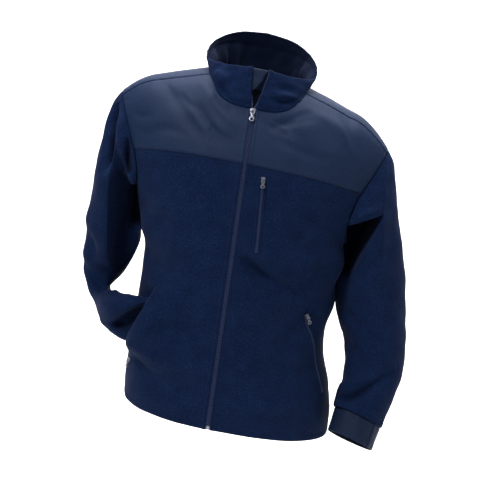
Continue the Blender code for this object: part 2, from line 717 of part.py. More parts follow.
def strip(spine, across, normals, x_range, depths):
    """A flat strip along a spine: its width runs across it and its depth inwards from the surface."""
    corners = [(x_range[0], depths[0]), (x_range[1], depths[0]), (x_range[1], depths[1]), (x_range[0], depths[1])]
    rings = np.stack([spine + across * x - normals * d for x, d in corners], 1)
    count = len(spine)
    faces = [(4 * j + k, 4 * j + (k + 1) % 4, 4 * j + 4 + (k + 1) % 4, 4 * j + 4 + k)
             for j in range(count - 1) for k in range(4)]
    return rings.reshape(-1, 3), faces + [(3, 2, 1, 0), tuple(4 * (count - 1) + k for k in range(4))]


def outline(half, length, corner, arc=3):
    """A rounded rectangle from height 0 down to minus its length, as (x, z) points."""
    spots = []
    for cx, cz, start in ((half - corner, -corner, 0), (-half + corner, -corner, 90),
                          (-half + corner, -length + corner, 180), (half - corner, -length + corner, 270)):
        for k in range(arc + 1):
            angle = math.radians(start + 90 * k / arc)
            spots.append((cx + corner * math.cos(angle), cz + corner * math.sin(angle)))
    return np.array(spots)


def prism(outer, near, far):
    """A plate of one outline between two depths."""
    n = len(outer)
    points = np.concatenate([np.column_stack([outer[:, 0], np.full(n, d), outer[:, 1]]) for d in (near, far)])
    faces = [(i, (i + 1) % n, (i + 1) % n + n, i + n)[::-1] for i in range(n)]
    return points, faces + [tuple(range(n)), tuple(range(2 * n - 1, n - 1, -1))]


def ring_prism(outer, inner, near, far):
    """A plate with a window: two outlines of equal length, between two depths."""
    n = len(outer)
    layers = [(outer, near), (outer, far), (inner, near), (inner, far)]
    points = np.concatenate([np.column_stack([o[:, 0], np.full(n, d), o[:, 1]]) for o, d in layers])
    faces = []
    for i in range(n):
        j = (i + 1) % n
        faces += [(i, j, j + n, i + n)[::-1], (2 * n + i, 2 * n + j, 3 * n + j, 3 * n + i),
                  (i, j, 2 * n + j, 2 * n + i), (n + i, n + j, 3 * n + j, 3 * n + i)[::-1]]
    return points, faces


# Slider and pull, in the slider's own frame: +X across the chain, +Z up along it, -Y out of the cloth.
# The chain's face is at y = 0, and the pull's axis runs through the slider's arch.
SLIDER_LENGTH = 0.0105
SLIDER_THICK = 0.0026
SLIDER_CORNER = 0.0020
SLIDER_GAP = 0.0008
ARCH_HALF_WIDTH = 0.0009
ARCH_BAR = 0.0010
ARCH_REACH = 0.0042
ARCH_HEIGHT = 0.0030
ARCH_CORNER = 0.0012
PULL_THICK = 0.0012
PULL_EYE = 0.0012
PULL_FRAME = 0.0014
PULL_WINDOW = 0.0062
PULL_CORNER = 0.6
PULL_LIFT = 0.0016
SIZES = table(
    "slider_half pull_half pull_length",
    (0.0052, 0.0036, 0.0210),
    (0.0034, 0.0028, 0.0150),
)


def to_place(points, place, axes):
    across, inward, along = axes
    return place + points[:, :1] * across + points[:, 1:2] * inward + points[:, 2:] * along


def arch_outline(reach, near, far):
    """The arch from the side, as (y, z) points: straight legs and two rounded corners."""
    points = [(near, reach), (near, -reach)]
    for start, z in ((-90, ARCH_CORNER - reach), (180, reach - ARCH_CORNER)):
        for k in range(4):
            angle = math.radians(start - 30 * k)
            points.append((far + ARCH_CORNER * (1 + math.cos(angle)), z + ARCH_CORNER * math.sin(angle)))
    return np.array(points)


def build_slider(prefix, place, axes, size):
    """A slider with its arch, and a pull whose origin is on its hinge axis."""
    slider_half, pull_half, pull_length = (column[size] for column in SIZES.values())
    base = -SLIDER_THICK - SLIDER_GAP
    points, faces = prism(outline(slider_half, SLIDER_LENGTH, SLIDER_CORNER), base, -SLIDER_GAP)
    top = np.array([0, 0, SLIDER_LENGTH / 2])
    slider = add_solid(f"{prefix}_slider", to_place(points + top, place, axes), faces, "metal")
    points, faces = ring_prism(arch_outline(ARCH_REACH, base + ARCH_BAR, base - ARCH_HEIGHT - ARCH_BAR),
                               arch_outline(ARCH_REACH - ARCH_BAR, base + ARCH_BAR / 2, base - ARCH_HEIGHT),
                               -ARCH_HALF_WIDTH, ARCH_HALF_WIDTH)
    points = points[:, [1, 0, 2]]
    arch = add_solid(f"{prefix}_arch_helper", to_place(points, place, axes), faces, "metal")
    arch.hide_render = True
    arch.display_type = "WIRE"
    join = slider.modifiers.new("arch", "BOOLEAN")
    join.operation = "UNION"
    join.solver = "EXACT"
    join.object = arch
    hinge = np.array([0, base - PULL_LIFT, 0])
    lift = np.array([0, PULL_EYE / 2])
    window = outline(pull_half - PULL_FRAME, PULL_WINDOW, PULL_FRAME / 2) - [0, PULL_EYE]
    points, faces = ring_prism(outline(pull_half, pull_length, pull_half * PULL_CORNER) + lift, window + lift,
                               -PULL_THICK / 2, PULL_THICK / 2)
    origin = to_place(hinge[None], place, axes)[0]
    add_solid(f"{prefix}_pull", to_place(points + hinge, place, axes), faces, "metal", origin)


def chain_frame(spine, normals, up, depth, at=0):
    """Place and axes for a slider whose middle is on the chain's face at a point of the spine."""
    along = unit(up)
    out = unit(normals[at] - along * (normals[at] @ along))
    return spine[at] - out * depth, (np.cross(-out, along), -out, along)


def on_grid(grid, row, col):
    """The value between the grid's points at a row and column with fractions."""
    r, c = int(row), int(col)
    v, u = row - r, col - c
    below = grid[r, c] * (1 - u) + grid[r, c + 1] * u
    above = grid[r + 1, c] * (1 - u) + grid[r + 1, c + 1] * u
    return below * (1 - v) + above * v


def column_at(grid, row, x):
    """The column, with its fraction, at which a row reaches a distance to the wearer's left."""
    return float(np.interp(x, grid[row, :, 0], np.arange(grid.shape[1])))


def build_front_zip(body, collar, collar_normals):
    """The closed zip from hem to neck, its open halves on the collar, the slider, pull and box."""
    spine = body.front[1][::-1, 0]
    normals = unit(body.normal[1][::-1, 0] * [0, 1, 1])
    right = np.array([1.0, 0, 0])
    for side, name in ((1, "left"), (-1, "right")):
        add_solid(f"front_tape_{name}",
                  *strip(spine, right, normals, (side * TAPE_NEAR, side * TAPE_BEHIND), TAPE_DEPTHS), "tape")
        edge = 0 if side > 0 else -1
        inner = 1 if side > 0 else -2
        off_edge = unit(collar[:, edge] - collar[:, inner])
        add_solid(f"collar_chain_{name}", *strip(collar[1:, edge], off_edge[1:], collar_normals[1:, edge],
                                                 COLLAR_CHAIN, COLLAR_CHAIN_DEPTHS), "teeth")
    hem_up = unit(spine[-2] - spine[-1])
    chain = spine.copy()
    chain[-1] += hem_up * (BOX_LENGTH + 4 * SEAM_GAP)
    add_solid("front_chain", *strip(chain, right, normals, (-CHAIN_HALF, CHAIN_HALF), CHAIN_DEPTHS), "teeth")
    box = np.stack([spine[-1] + hem_up * (BOX_LENGTH + 2 * SEAM_GAP), spine[-1] + hem_up * 2 * SEAM_GAP])
    add_solid("front_box", *strip(box, right, normals[-2:], (-BOX_HALF, BOX_HALF), BOX_DEPTHS), "metal")
    down = unit(spine[1] - spine[0])
    place, axes = chain_frame(spine, normals, -down, CHAIN_DEPTHS[0])
    build_slider("front", place + down * SLIDER_LENGTH / 2, axes, 0)


def build_laid_zip(prefix, spine, normals):
    """A short zip on the cloth's face with its slider at the upper end of the spine."""
    across = unit(np.cross(normals, np.gradient(spine, axis=0)))
    at = np.arange(len(spine), dtype=float)
    finer = np.linspace(0, at[-1], (len(spine) - 1) * SMALL_STEPS + 1)
    spine, normals, across = (np.stack([np.interp(finer, at, v[:, i]) for i in range(3)], -1)
                              for v in (spine, normals, across))
    add_solid(f"{prefix}_tape", *strip(spine, across, normals, (-SMALL_TAPE_HALF, SMALL_TAPE_HALF),
                                       SMALL_TAPE_DEPTHS), "tape")
    add_solid(f"{prefix}_chain", *strip(spine, across, normals, (-SMALL_CHAIN_HALF, SMALL_CHAIN_HALF),
                                        SMALL_CHAIN_DEPTHS), "teeth")
    up = spine[0] - spine[1]
    place, axes = chain_frame(spine, normals, up, SMALL_CHAIN_DEPTHS[0])
    build_slider(prefix, place - unit(up) * SLIDER_LENGTH / 2, axes, 1)


def build_chest_zip(body):
    """The zip on the wearer's left chest, from below the yoke's seam to below the armpit."""
    grid, normal = body.front[1], body.normal[1]
    armpit = len(LOWER_ROWS) - 1
    near = np.arange(armpit - 1, armpit + MID_ROWS + 1)
    ends = np.interp(CHEST_ZIP["z"], [on_grid(grid, row, 1)[2] for row in near], near)
    rows = [ends[0], *range(int(ends[0]), int(ends[1]), -1), ends[1]]
    x = np.interp(rows, ends[::-1], CHEST_ZIP["x"][::-1])
    cols = [column_at(grid, int(round(row)), spot) for row, spot in zip(rows, x)]
    spine = np.array([on_grid(grid, row, col) for row, col in zip(rows, cols)])
    normals = unit(np.array([on_grid(normal, row, col) for row, col in zip(rows, cols)]))
    build_laid_zip("chest", spine, normals)


def build_pocket_zips(body, lifted):
    """The closed left pocket zip, and the right one open along both lips of its mouth."""
    rows = np.s_[MOUTH_ROWS[1]: MOUTH_ROWS[0] - 1: -1]
    build_laid_zip("pocket_left", body.front[1][rows, POCKET_COL], body.normal[1][rows, POCKET_COL])
    inner = np.s_[MOUTH_ROWS[1] - 1: MOUTH_ROWS[0]: -1]
    flat, flat_normals = body.front[-1], body.normal[-1]
    lip_normals = grid_normals(lifted[:, : POCKET_COL + 1], -1.0)
    for i, (name, grid, normal, beside) in enumerate((("front", lifted, lip_normals, POCKET_COL - 1),
                                                      ("back", flat, flat_normals, POCKET_COL + 1))):
        edge = grid[inner, POCKET_COL]
        start, end, near, far = (column[i] for column in MOUTH_CHAINS.values())
        add_solid(f"pocket_right_chain_{name}",
                  *strip(edge, unit(edge - grid[inner, beside]), normal[inner, POCKET_COL],
                         (start, end), (near, far)), "teeth")
    foot = MOUTH_ROWS[0]
    up = flat[foot + 1, POCKET_COL] - flat[foot, POCKET_COL]
    place, axes = chain_frame(lifted[:, POCKET_COL], flat_normals[:, POCKET_COL], up, 0.0, foot)
    build_slider("pocket_right", place - unit(up) * SLIDER_LENGTH / 2, axes, 1)


def build_guard(collar, normals):
    """The nylon chin guard behind the collar's right edge, wider towards the rim."""
    share = np.linspace(0, 1, COLLAR_ROWS + 1)[1:, None]
    edge, beside = collar[1:, -1], collar[1:, -2]
    toward = unit(collar[1:, 0] - edge)
    spots = [(edge + beside) / 2, edge, edge + toward * GUARD_REACH * share / 2, edge + toward * GUARD_REACH * share]
    points = np.stack(spots, 1)
    inward = -normals[1:, -1]
    points = points + inward[:, None] * (COLLAR_WALL + SEAM_GAP + GUARD_EASE)
    offsets = np.repeat(inward[:, None], points.shape[1], 1) * GUARD_WALL
    verts, faces = thicken(points.reshape(-1, 3), offsets.reshape(-1, 3), grid_quads(*points.shape[:2], False))
    add_mesh("collar_guard", verts, facing_out(verts, faces), "nylon")


def main():
    for obj in list(bpy.data.objects):
        bpy.data.objects.remove(obj, do_unlink=True)
    body = Body()
    seams = {side: build_sleeve(side, body) for side in (1, -1)}
    build_front(1, body, seams[1])
    lifted = build_front(-1, body, seams[-1])
    build_back(body, seams)
    collar, collar_normals = build_collar(body)
    build_guard(collar, collar_normals)
    build_front_zip(body, collar, collar_normals)
    build_chest_zip(body)
    build_pocket_zips(body, lifted)


if __name__ == "__main__":
    main()
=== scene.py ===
"""Zip-front fleece jacket in its worn, filled-out form: its fine cloth, zips, stitching and finishes.

Units are metres, +Z is up, the front faces -Y and the jacket's own left side is +X.
Each cloth piece is a grid of points on one worked-out form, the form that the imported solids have,
with the creases of the worn jacket added and a wall thickened inwards.
"""

import json
import logging
import math
from dataclasses import dataclass, field
from enum import Enum

import bpy
import numpy as np
from bpy.types import Material, Node, NodeSocket, NodeTree, Object
from mathutils import Matrix, Vector

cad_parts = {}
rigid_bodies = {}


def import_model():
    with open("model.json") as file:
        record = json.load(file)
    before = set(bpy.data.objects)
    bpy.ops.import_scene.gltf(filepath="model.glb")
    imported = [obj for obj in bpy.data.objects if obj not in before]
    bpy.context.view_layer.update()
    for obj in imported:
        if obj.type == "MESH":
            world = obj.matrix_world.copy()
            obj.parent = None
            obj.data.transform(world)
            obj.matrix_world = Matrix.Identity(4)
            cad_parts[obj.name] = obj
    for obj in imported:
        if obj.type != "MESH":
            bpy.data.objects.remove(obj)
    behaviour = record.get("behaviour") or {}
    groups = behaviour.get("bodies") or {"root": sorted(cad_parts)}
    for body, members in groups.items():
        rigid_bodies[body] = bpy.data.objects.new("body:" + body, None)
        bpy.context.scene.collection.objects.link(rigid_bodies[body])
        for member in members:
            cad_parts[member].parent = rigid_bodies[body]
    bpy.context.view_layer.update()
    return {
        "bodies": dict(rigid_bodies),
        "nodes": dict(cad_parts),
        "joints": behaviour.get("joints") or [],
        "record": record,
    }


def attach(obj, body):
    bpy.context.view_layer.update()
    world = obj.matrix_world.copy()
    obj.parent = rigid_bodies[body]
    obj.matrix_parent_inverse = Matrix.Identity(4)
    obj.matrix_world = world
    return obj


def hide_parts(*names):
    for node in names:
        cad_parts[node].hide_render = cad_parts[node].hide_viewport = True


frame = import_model()
LOG = logging.getLogger("jacket")

# An array, a table by its columns, points with a vector each, and points with their faces
Array = np.ndarray
Table = dict[str, Array]
Pair = tuple[Array, Array]
Triple = tuple[Array, Array, Array]
Shape = tuple[Array, list[Array]]

# Cloth walls, the gap at a seam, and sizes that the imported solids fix
FLEECE_WALL = 0.0028
NYLON_WALL = 0.0024
COLLAR_WALL = 0.0046
SEAM_GAP = 0.0003
CF_HALF_GAP = 0.0040
CF_MAKE_ROOM = 0.016
LEAST_LEAN = 0.62

# The narrowest cut and the least share of its rectangle that a piece's logged sizes
# take. The narrowest cut and the least share of its rectangle that a sheet may state
LEAST_CUT = 0.0102
LEAST_FILL = 0.31


def table(names: str, *rows: tuple[float, ...], per: float = 1.0) -> Table:
    """A short table as arrays.

    Args:
        names: the column names in one string.
        rows: one row for each station.
        per: how many of its units make a metre.

    Returns:
        The columns by name.
    """
    return dict(zip(names.split(), np.array(rows, float).T / per))


def smooth(x: Array, xs: Array, ys: Array) -> Array:
    """A curve through a table's points: cubic pieces whose slopes are harmonic means, so none overshoots.

    Args:
        x: where to read the curve.
        xs: the table's rising places.
        ys: its values there.

    Returns:
        The curve's values at x.
    """
    x = np.clip(x, xs[0], xs[-1])
    step = np.diff(xs)
    rise = np.diff(ys) / step
    slope = np.concatenate([rise[:1], np.zeros(len(rise) - 1), rise[-1:]])
    before, after = rise[:-1], rise[1:]
    same = before * after > 0
    slope[1:-1][same] = (2 * before * after)[same] / (before + after)[same]
    i = np.clip(np.searchsorted(xs, x, side="right") - 1, 0, len(step) - 1)
    t = (x - xs[i]) / step[i]
    start = (2 * t**3 - 3 * t**2 + 1) * ys[i] + (t**3 - 2 * t**2 + t) * step[i] * slope[i]
    end = (3 * t**2 - 2 * t**3) * ys[i + 1] + (t**3 - t**2) * step[i] * slope[i + 1]
    return start + end


def read(rows: Table, at: Array, column: str) -> Array:
    """A column of a table at places of its first column, along the smooth curve through its rows."""
    return smooth(at, next(iter(rows.values())), rows[column])


def unit(v: Array) -> Array:
    """Vectors of length one in the directions given."""
    return v / np.maximum(np.linalg.norm(v, axis=-1, keepdims=True), 1e-12)


def ease(t: Array | float) -> Array:
    """A soft step from 0 to 1: three t squared less two t cubed, flat at both ends."""
    t = np.clip(t, 0, 1)
    return t * t * (3 - 2 * t)


def steps(count: int, start: bool = False, end: bool = False) -> Array:
    """Places from 0 to 1 in equal cells, with four narrower ones at each end that is asked for.

    Args:
        count: the number of cells.
        start: whether the cells narrow towards 0.
        end: whether they narrow towards 1.

    Returns:
        The places, one more than the cells.
    """
    wide = np.ones(count)
    narrow = np.array([0.30, 0.32, 0.42, 0.65])
    if start:
        wide[:4] = narrow
    if end:
        wide[-4:] = narrow[::-1]
    return np.concatenate([[0], np.cumsum(wide) / wide.sum()])


def grid_normals(points: Array, sign: float = 1.0, wrap: bool = False) -> Array:
    """Unit normals of a grid: the cross product of the differences along its rows and its columns.

    Args:
        points: rows by columns by three.
        sign: 1 or -1, to face the normals out of the cloth.
        wrap: whether the last column joins the first.

    Returns:
        One normal for each point.
    """
    if wrap:
        across = np.roll(points, -1, 1) - np.roll(points, 1, 1)
    else:
        across = np.gradient(points, axis=1)
    return sign * unit(np.cross(across, np.gradient(points, axis=0)))


def running(points: Array) -> Array:
    """Length along each column of a grid, counted from 0 on its first row."""
    step = np.linalg.norm(np.diff(points, axis=0), axis=-1)
    return np.concatenate([np.zeros_like(step[:1]), np.cumsum(step, axis=0)])


def resampled(line: Array, step: float, *others: Array) -> list[Array]:
    """Points a fixed step apart along a polyline, read off its running length.

    Args:
        line: the polyline's points.
        step: the distance between two new points.
        others: vectors at the polyline's points that are read at the new ones too.

    Returns:
        The new points, then each of the others there.
    """
    at = running(line[:, None])[:, 0]
    new = np.arange(step / 2, at[-1], step)
    return [np.stack([np.interp(new, at, v[:, i]) for i in range(3)], -1) for v in (line, *others)]


def bezier(a: Array, b: Array, c: Array, count: int) -> Array:
    """Points of the parabola through a, b and c, which it reaches at 0, a half and 1."""
    t = np.linspace(0, 1, count)[:, None]
    return a * (2 * t - 1) * (t - 1) + b * 4 * t * (1 - t) + c * t * (2 * t - 1)


class Edge(Enum):
    """A grid's four edges: whether each one runs down its columns, and whether it ends the grid."""

    BOTTOM = (False, False)
    TOP = (False, True)
    FIRST = (True, False)
    LAST = (True, True)

    def turned(self, grid: Array) -> Array:
        """The grid with this edge as its first row.

        Args:
            grid: rows by columns.

        Returns:
            The grid, turned.
        """
        swap, ends = self.value
        grid = grid.swapaxes(0, 1) if swap else grid
        return grid[::-1] if ends else grid

    def back(self, grid: Array) -> Array:
        """A turned grid as it was.

        Args:
            grid: a grid that turned gave.

        Returns:
            The grid, turned back.
        """
        swap, ends = self.value
        grid = grid[::-1] if ends else grid
        return grid.swapaxes(0, 1) if swap else grid


@dataclass(frozen=True)
class Crease:
    """A soft ridge or trough of the worn cloth.

    Its curve is the parabola through three places on the cloth. Its height is exp(-(d / w)^2) of the
    distance d, and dies away towards both ends as a root of a sine. The skew widens one side and narrows
    the other, so that a fold can hang over its own trough.
    """

    places: Array
    width: float
    height: float
    skew: float = 1.0
    # Painted shade: how far the cloth along its line is darkened towards the shadow colour
    shade: float = 0.0

    def height_at(self, cloud: Array, points: Array, normals: Array) -> Array:
        """The crease's height at each point of a grid.

        Args:
            cloud: every point of the cloth that the crease may cross, on which its places are snapped.
            points: the grid, rows by columns by three.
            normals: its normals.

        Returns:
            Rows by columns of heights.
        """
        a, b, c = (cloud[np.argmin(((cloud - place) ** 2).sum(-1))] for place in self.places)
        curve = bezier(a, b, c, 33)
        flat = points.reshape(-1, 3)
        reach = 3.0 * self.width * max(self.skew, 1 / self.skew)
        near = np.flatnonzero(((flat > curve.min(0) - reach) & (flat < curve.max(0) + reach)).all(-1))
        height = np.zeros(len(flat))
        if len(near):
            spots = flat[near]
            gap = np.sqrt(((spots[:, None, :] - curve[None]) ** 2).sum(-1))
            nearest = gap.argmin(1)
            away = gap[np.arange(len(spots)), nearest]
            along = unit(np.gradient(curve, axis=0))[nearest]
            side = (np.cross(along, normals.reshape(-1, 3)[near]) * (spots - curve[nearest])).sum(-1)
            width = self.width * np.where(side > 0, self.skew, 1 / self.skew)
            fade = np.sin(np.pi * np.clip(nearest / 32, 0.01, 0.99)) ** 0.7
            height[near] = self.height * fade * np.exp(-((away / width) ** 2))
        return height.reshape(points.shape[:-1])


def creases(*rows: tuple[float, ...]) -> list[Crease]:
    """Creases from rows in millimetres: x, y, z of three places, width, height, any skew and shade."""
    return [Crease(np.reshape(row[:9], (3, 3)) / 1000, row[9] / 1000, row[10] / 1000, *row[11:])
            for row in rows]


@dataclass(frozen=True)
class Hollow:
    """A hollow of slack cloth behind a fold: an area with straight sides, pushed back from the front.

    Each side starts at its x and z and has a reach, all in millimetres.

    Its depth is the product, over its sides, of a share of the distance inside each one. A side with a
    positive reach is a soft slope of that length. A negative reach makes a fold's sharp edge, from which the
    cloth turns straight inwards and flattens out after that length.
    """

    sides: tuple[tuple[float, float, float], ...]
    depth: float
    floor: float
    # Painted shade: how far the cloth inside it is darkened towards the shadow colour
    shade: float = 0.0

    def share(self, points: Array, normals: Array) -> Array:
        """How far inside the hollow each point lies, from 0 to 1. Cloth that faces back is outside.

        Args:
            points: where to read it.
            normals: the cloth's normals there.

        Returns:
            A share for each point.
        """
        x, z, reach = np.array(self.sides).T / 1000
        along_x, along_z = np.roll(x, -1) - x, np.roll(z, -1) - z
        turn = np.sign(np.sum(x * np.roll(z, -1) - np.roll(x, -1) * z))
        share = ease((0.35 - normals[..., 1]) / 0.5)
        for i, length in enumerate(np.hypot(along_x, along_z)):
            from_x, from_z = points[..., 0] - x[i], points[..., 2] - z[i]
            inside = turn * (along_x[i] * from_z - along_z[i] * from_x) / length
            t = np.clip(inside / abs(reach[i]), 0, 1)
            share *= ease(t) if reach[i] > 0 else 1 - (1 - t) ** 2
        return share


@dataclass(frozen=True)
class Drag:
    """A soft pull on all the cloth near a place: a move that dies away as exp(-|p - c|^2 / r^2)."""

    centre: tuple[float, float, float]
    reach: tuple[float, float, float]
    move: tuple[float, float, float]

    def moved(self, points: Array) -> Array:
        """The points after the pull."""
        gap = (((points - np.array(self.centre)) / np.array(self.reach)) ** 2).sum(-1)
        return points + np.exp(-gap)[..., None] * np.array(self.move)


def rumpled(points: Array, height: float, size: float, turn: float) -> Array:
    """A soft unevenness of hanging cloth: the mean of four sine waves that cross at different slants.

    Args:
        points: where to read it.
        height: its largest height.
        size: the length of its longest wave.
        turn: a phase that makes one piece differ from the next.

    Returns:
        A height for each point.
    """
    x, y, z = np.moveaxis(points, -1, 0) * (2 * np.pi / size)
    waves = (np.sin(x + z * 0.6 + turn) + np.sin(z * 1.3 - y * 0.8 + 2.1 * turn)
             + np.sin(x * 1.9 - z * 1.1 + 3.7 * turn) + np.sin(y * 2.3 + z * 1.7 - x * 0.7 + 0.9 * turn))
    return height * waves / 4


# ---------------------------------------------------------------- meshes


def grid_quads(rows: int, cols: int, flip: bool, wrap: bool = False) -> Array:
    """Corner numbers of a grid's cells.

    Args:
        rows: its rows.
        cols: its columns.
        flip: whether to turn the cells round.
        wrap: whether the last column joins the first.

    Returns:
        Cells by four.
    """
    row, col = np.meshgrid(np.arange(rows - 1), np.arange(cols if wrap else cols - 1), indexing="ij")
    here, beyond = row * cols + col, row * cols + (col + 1) % cols
    quads = np.stack([here, beyond, beyond + cols, here + cols], -1).reshape(-1, 4)
    return quads[:, ::-1] if flip else quads


def shell(points: Array, offsets: Array, quads: Array) -> Triple:
    """A closed sheet: outer points, inner ones moved by the offsets, and a rounded rim at every free edge.

    The rim's middle line stands out of the edge by a third of the wall, along the cross product of the
    edge's direction and the cloth's normal.

    Args:
        points: outer points by three.
        offsets: the move from each outer point to its inner one.
        quads: the outer cells, turned to face out.

    Returns:
        All points, all cells, and the outer point that each point came from.
    """
    count = len(points)
    sides = np.concatenate([quads[:, [i, (i + 1) % 4]] for i in range(4)])
    key, mirror = sides[:, 0] * count + sides[:, 1], sides[:, 1] * count + sides[:, 0]
    a, b = sides[~np.isin(key, mirror)].T
    out = np.zeros((count, 3))
    beside = np.cross(points[b] - points[a], -unit(offsets[a]))
    np.add.at(out, a, beside)
    np.add.at(out, b, beside)
    rim = np.unique(np.concatenate([a, b]))
    place = np.zeros(count, int)
    place[rim] = 2 * count + np.arange(len(rim))
    wall = np.linalg.norm(offsets[rim], axis=-1, keepdims=True)
    middle = points[rim] + offsets[rim] / 2 + unit(out[rim]) * wall * 0.33
    every = np.concatenate([points, points + offsets, middle])
    faces = np.concatenate([quads, quads[:, ::-1] + count, np.stack([b, a, place[a], place[b]], -1),
                            np.stack([place[b], place[a], a + count, b + count], -1)])
    return every, faces, np.concatenate([np.arange(count), np.arange(count), rim])


def add_mesh(name: str, points: Array, faces: list[Array], finish: Material) -> Object:
    """One smoothly shaded object from numpy arrays, its origin at the scene's, sharp at over 50 degrees.

    Args:
        name: the piece's name.
        points: points by three.
        faces: arrays of faces, each with one number of corners.
        finish: its material.

    Returns:
        The object, linked into the scene.
    """
    mesh = bpy.data.meshes.new(name)
    corners = np.concatenate([f.ravel() for f in faces]).astype(np.int32)
    sizes = np.concatenate([np.full(len(f), f.shape[1]) for f in faces])
    mesh.vertices.add(len(points))
    mesh.vertices.foreach_set("co", np.asarray(points, np.float32).ravel())
    mesh.loops.add(len(corners))
    mesh.loops.foreach_set("vertex_index", corners)
    mesh.polygons.add(len(sizes))
    mesh.polygons.foreach_set("loop_start", np.concatenate([[0], np.cumsum(sizes)[:-1]]).astype(np.int32))
    mesh.update(calc_edges=True)
    mesh.materials.append(finish)
    mesh.shade_smooth()
    mesh.set_sharp_from_angle(angle=math.radians(50))
    obj = bpy.data.objects.new(name, mesh)
    bpy.context.scene.collection.objects.link(obj)
    return obj


def settle(obj: Object, slot: str, *nodes: str, body: str = "jacket") -> None:
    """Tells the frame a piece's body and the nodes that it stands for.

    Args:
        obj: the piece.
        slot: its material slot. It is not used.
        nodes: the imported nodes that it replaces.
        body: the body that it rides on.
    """
    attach(obj, body)
    if nodes:
        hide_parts(*nodes)
    LOG.info("%s: %d faces", obj.name, len(obj.data.polygons))


def add_values(obj: Object, name: str, values: Array) -> None:
    """A number for each point of a mesh, which its material reads by name."""
    layer = obj.data.attributes.new(name, "FLOAT", "POINT")
    layer.data.foreach_set("value", np.asarray(values, np.float32))


def add_uv(obj: Object, uv: Array) -> None:
    """A flat place in metres for each point of a mesh, kept as its UV map.

    Args:
        obj: the piece.
        uv: points by two.
    """
    corner = np.empty(len(obj.data.loops), np.int32)
    obj.data.loops.foreach_get("vertex_index", corner)
    layer = obj.data.uv_layers.new(name="cloth")
    layer.data.foreach_set("uv", np.asarray(uv[corner], np.float32).ravel())


# ---------------------------------------------------------------- the jacket's form


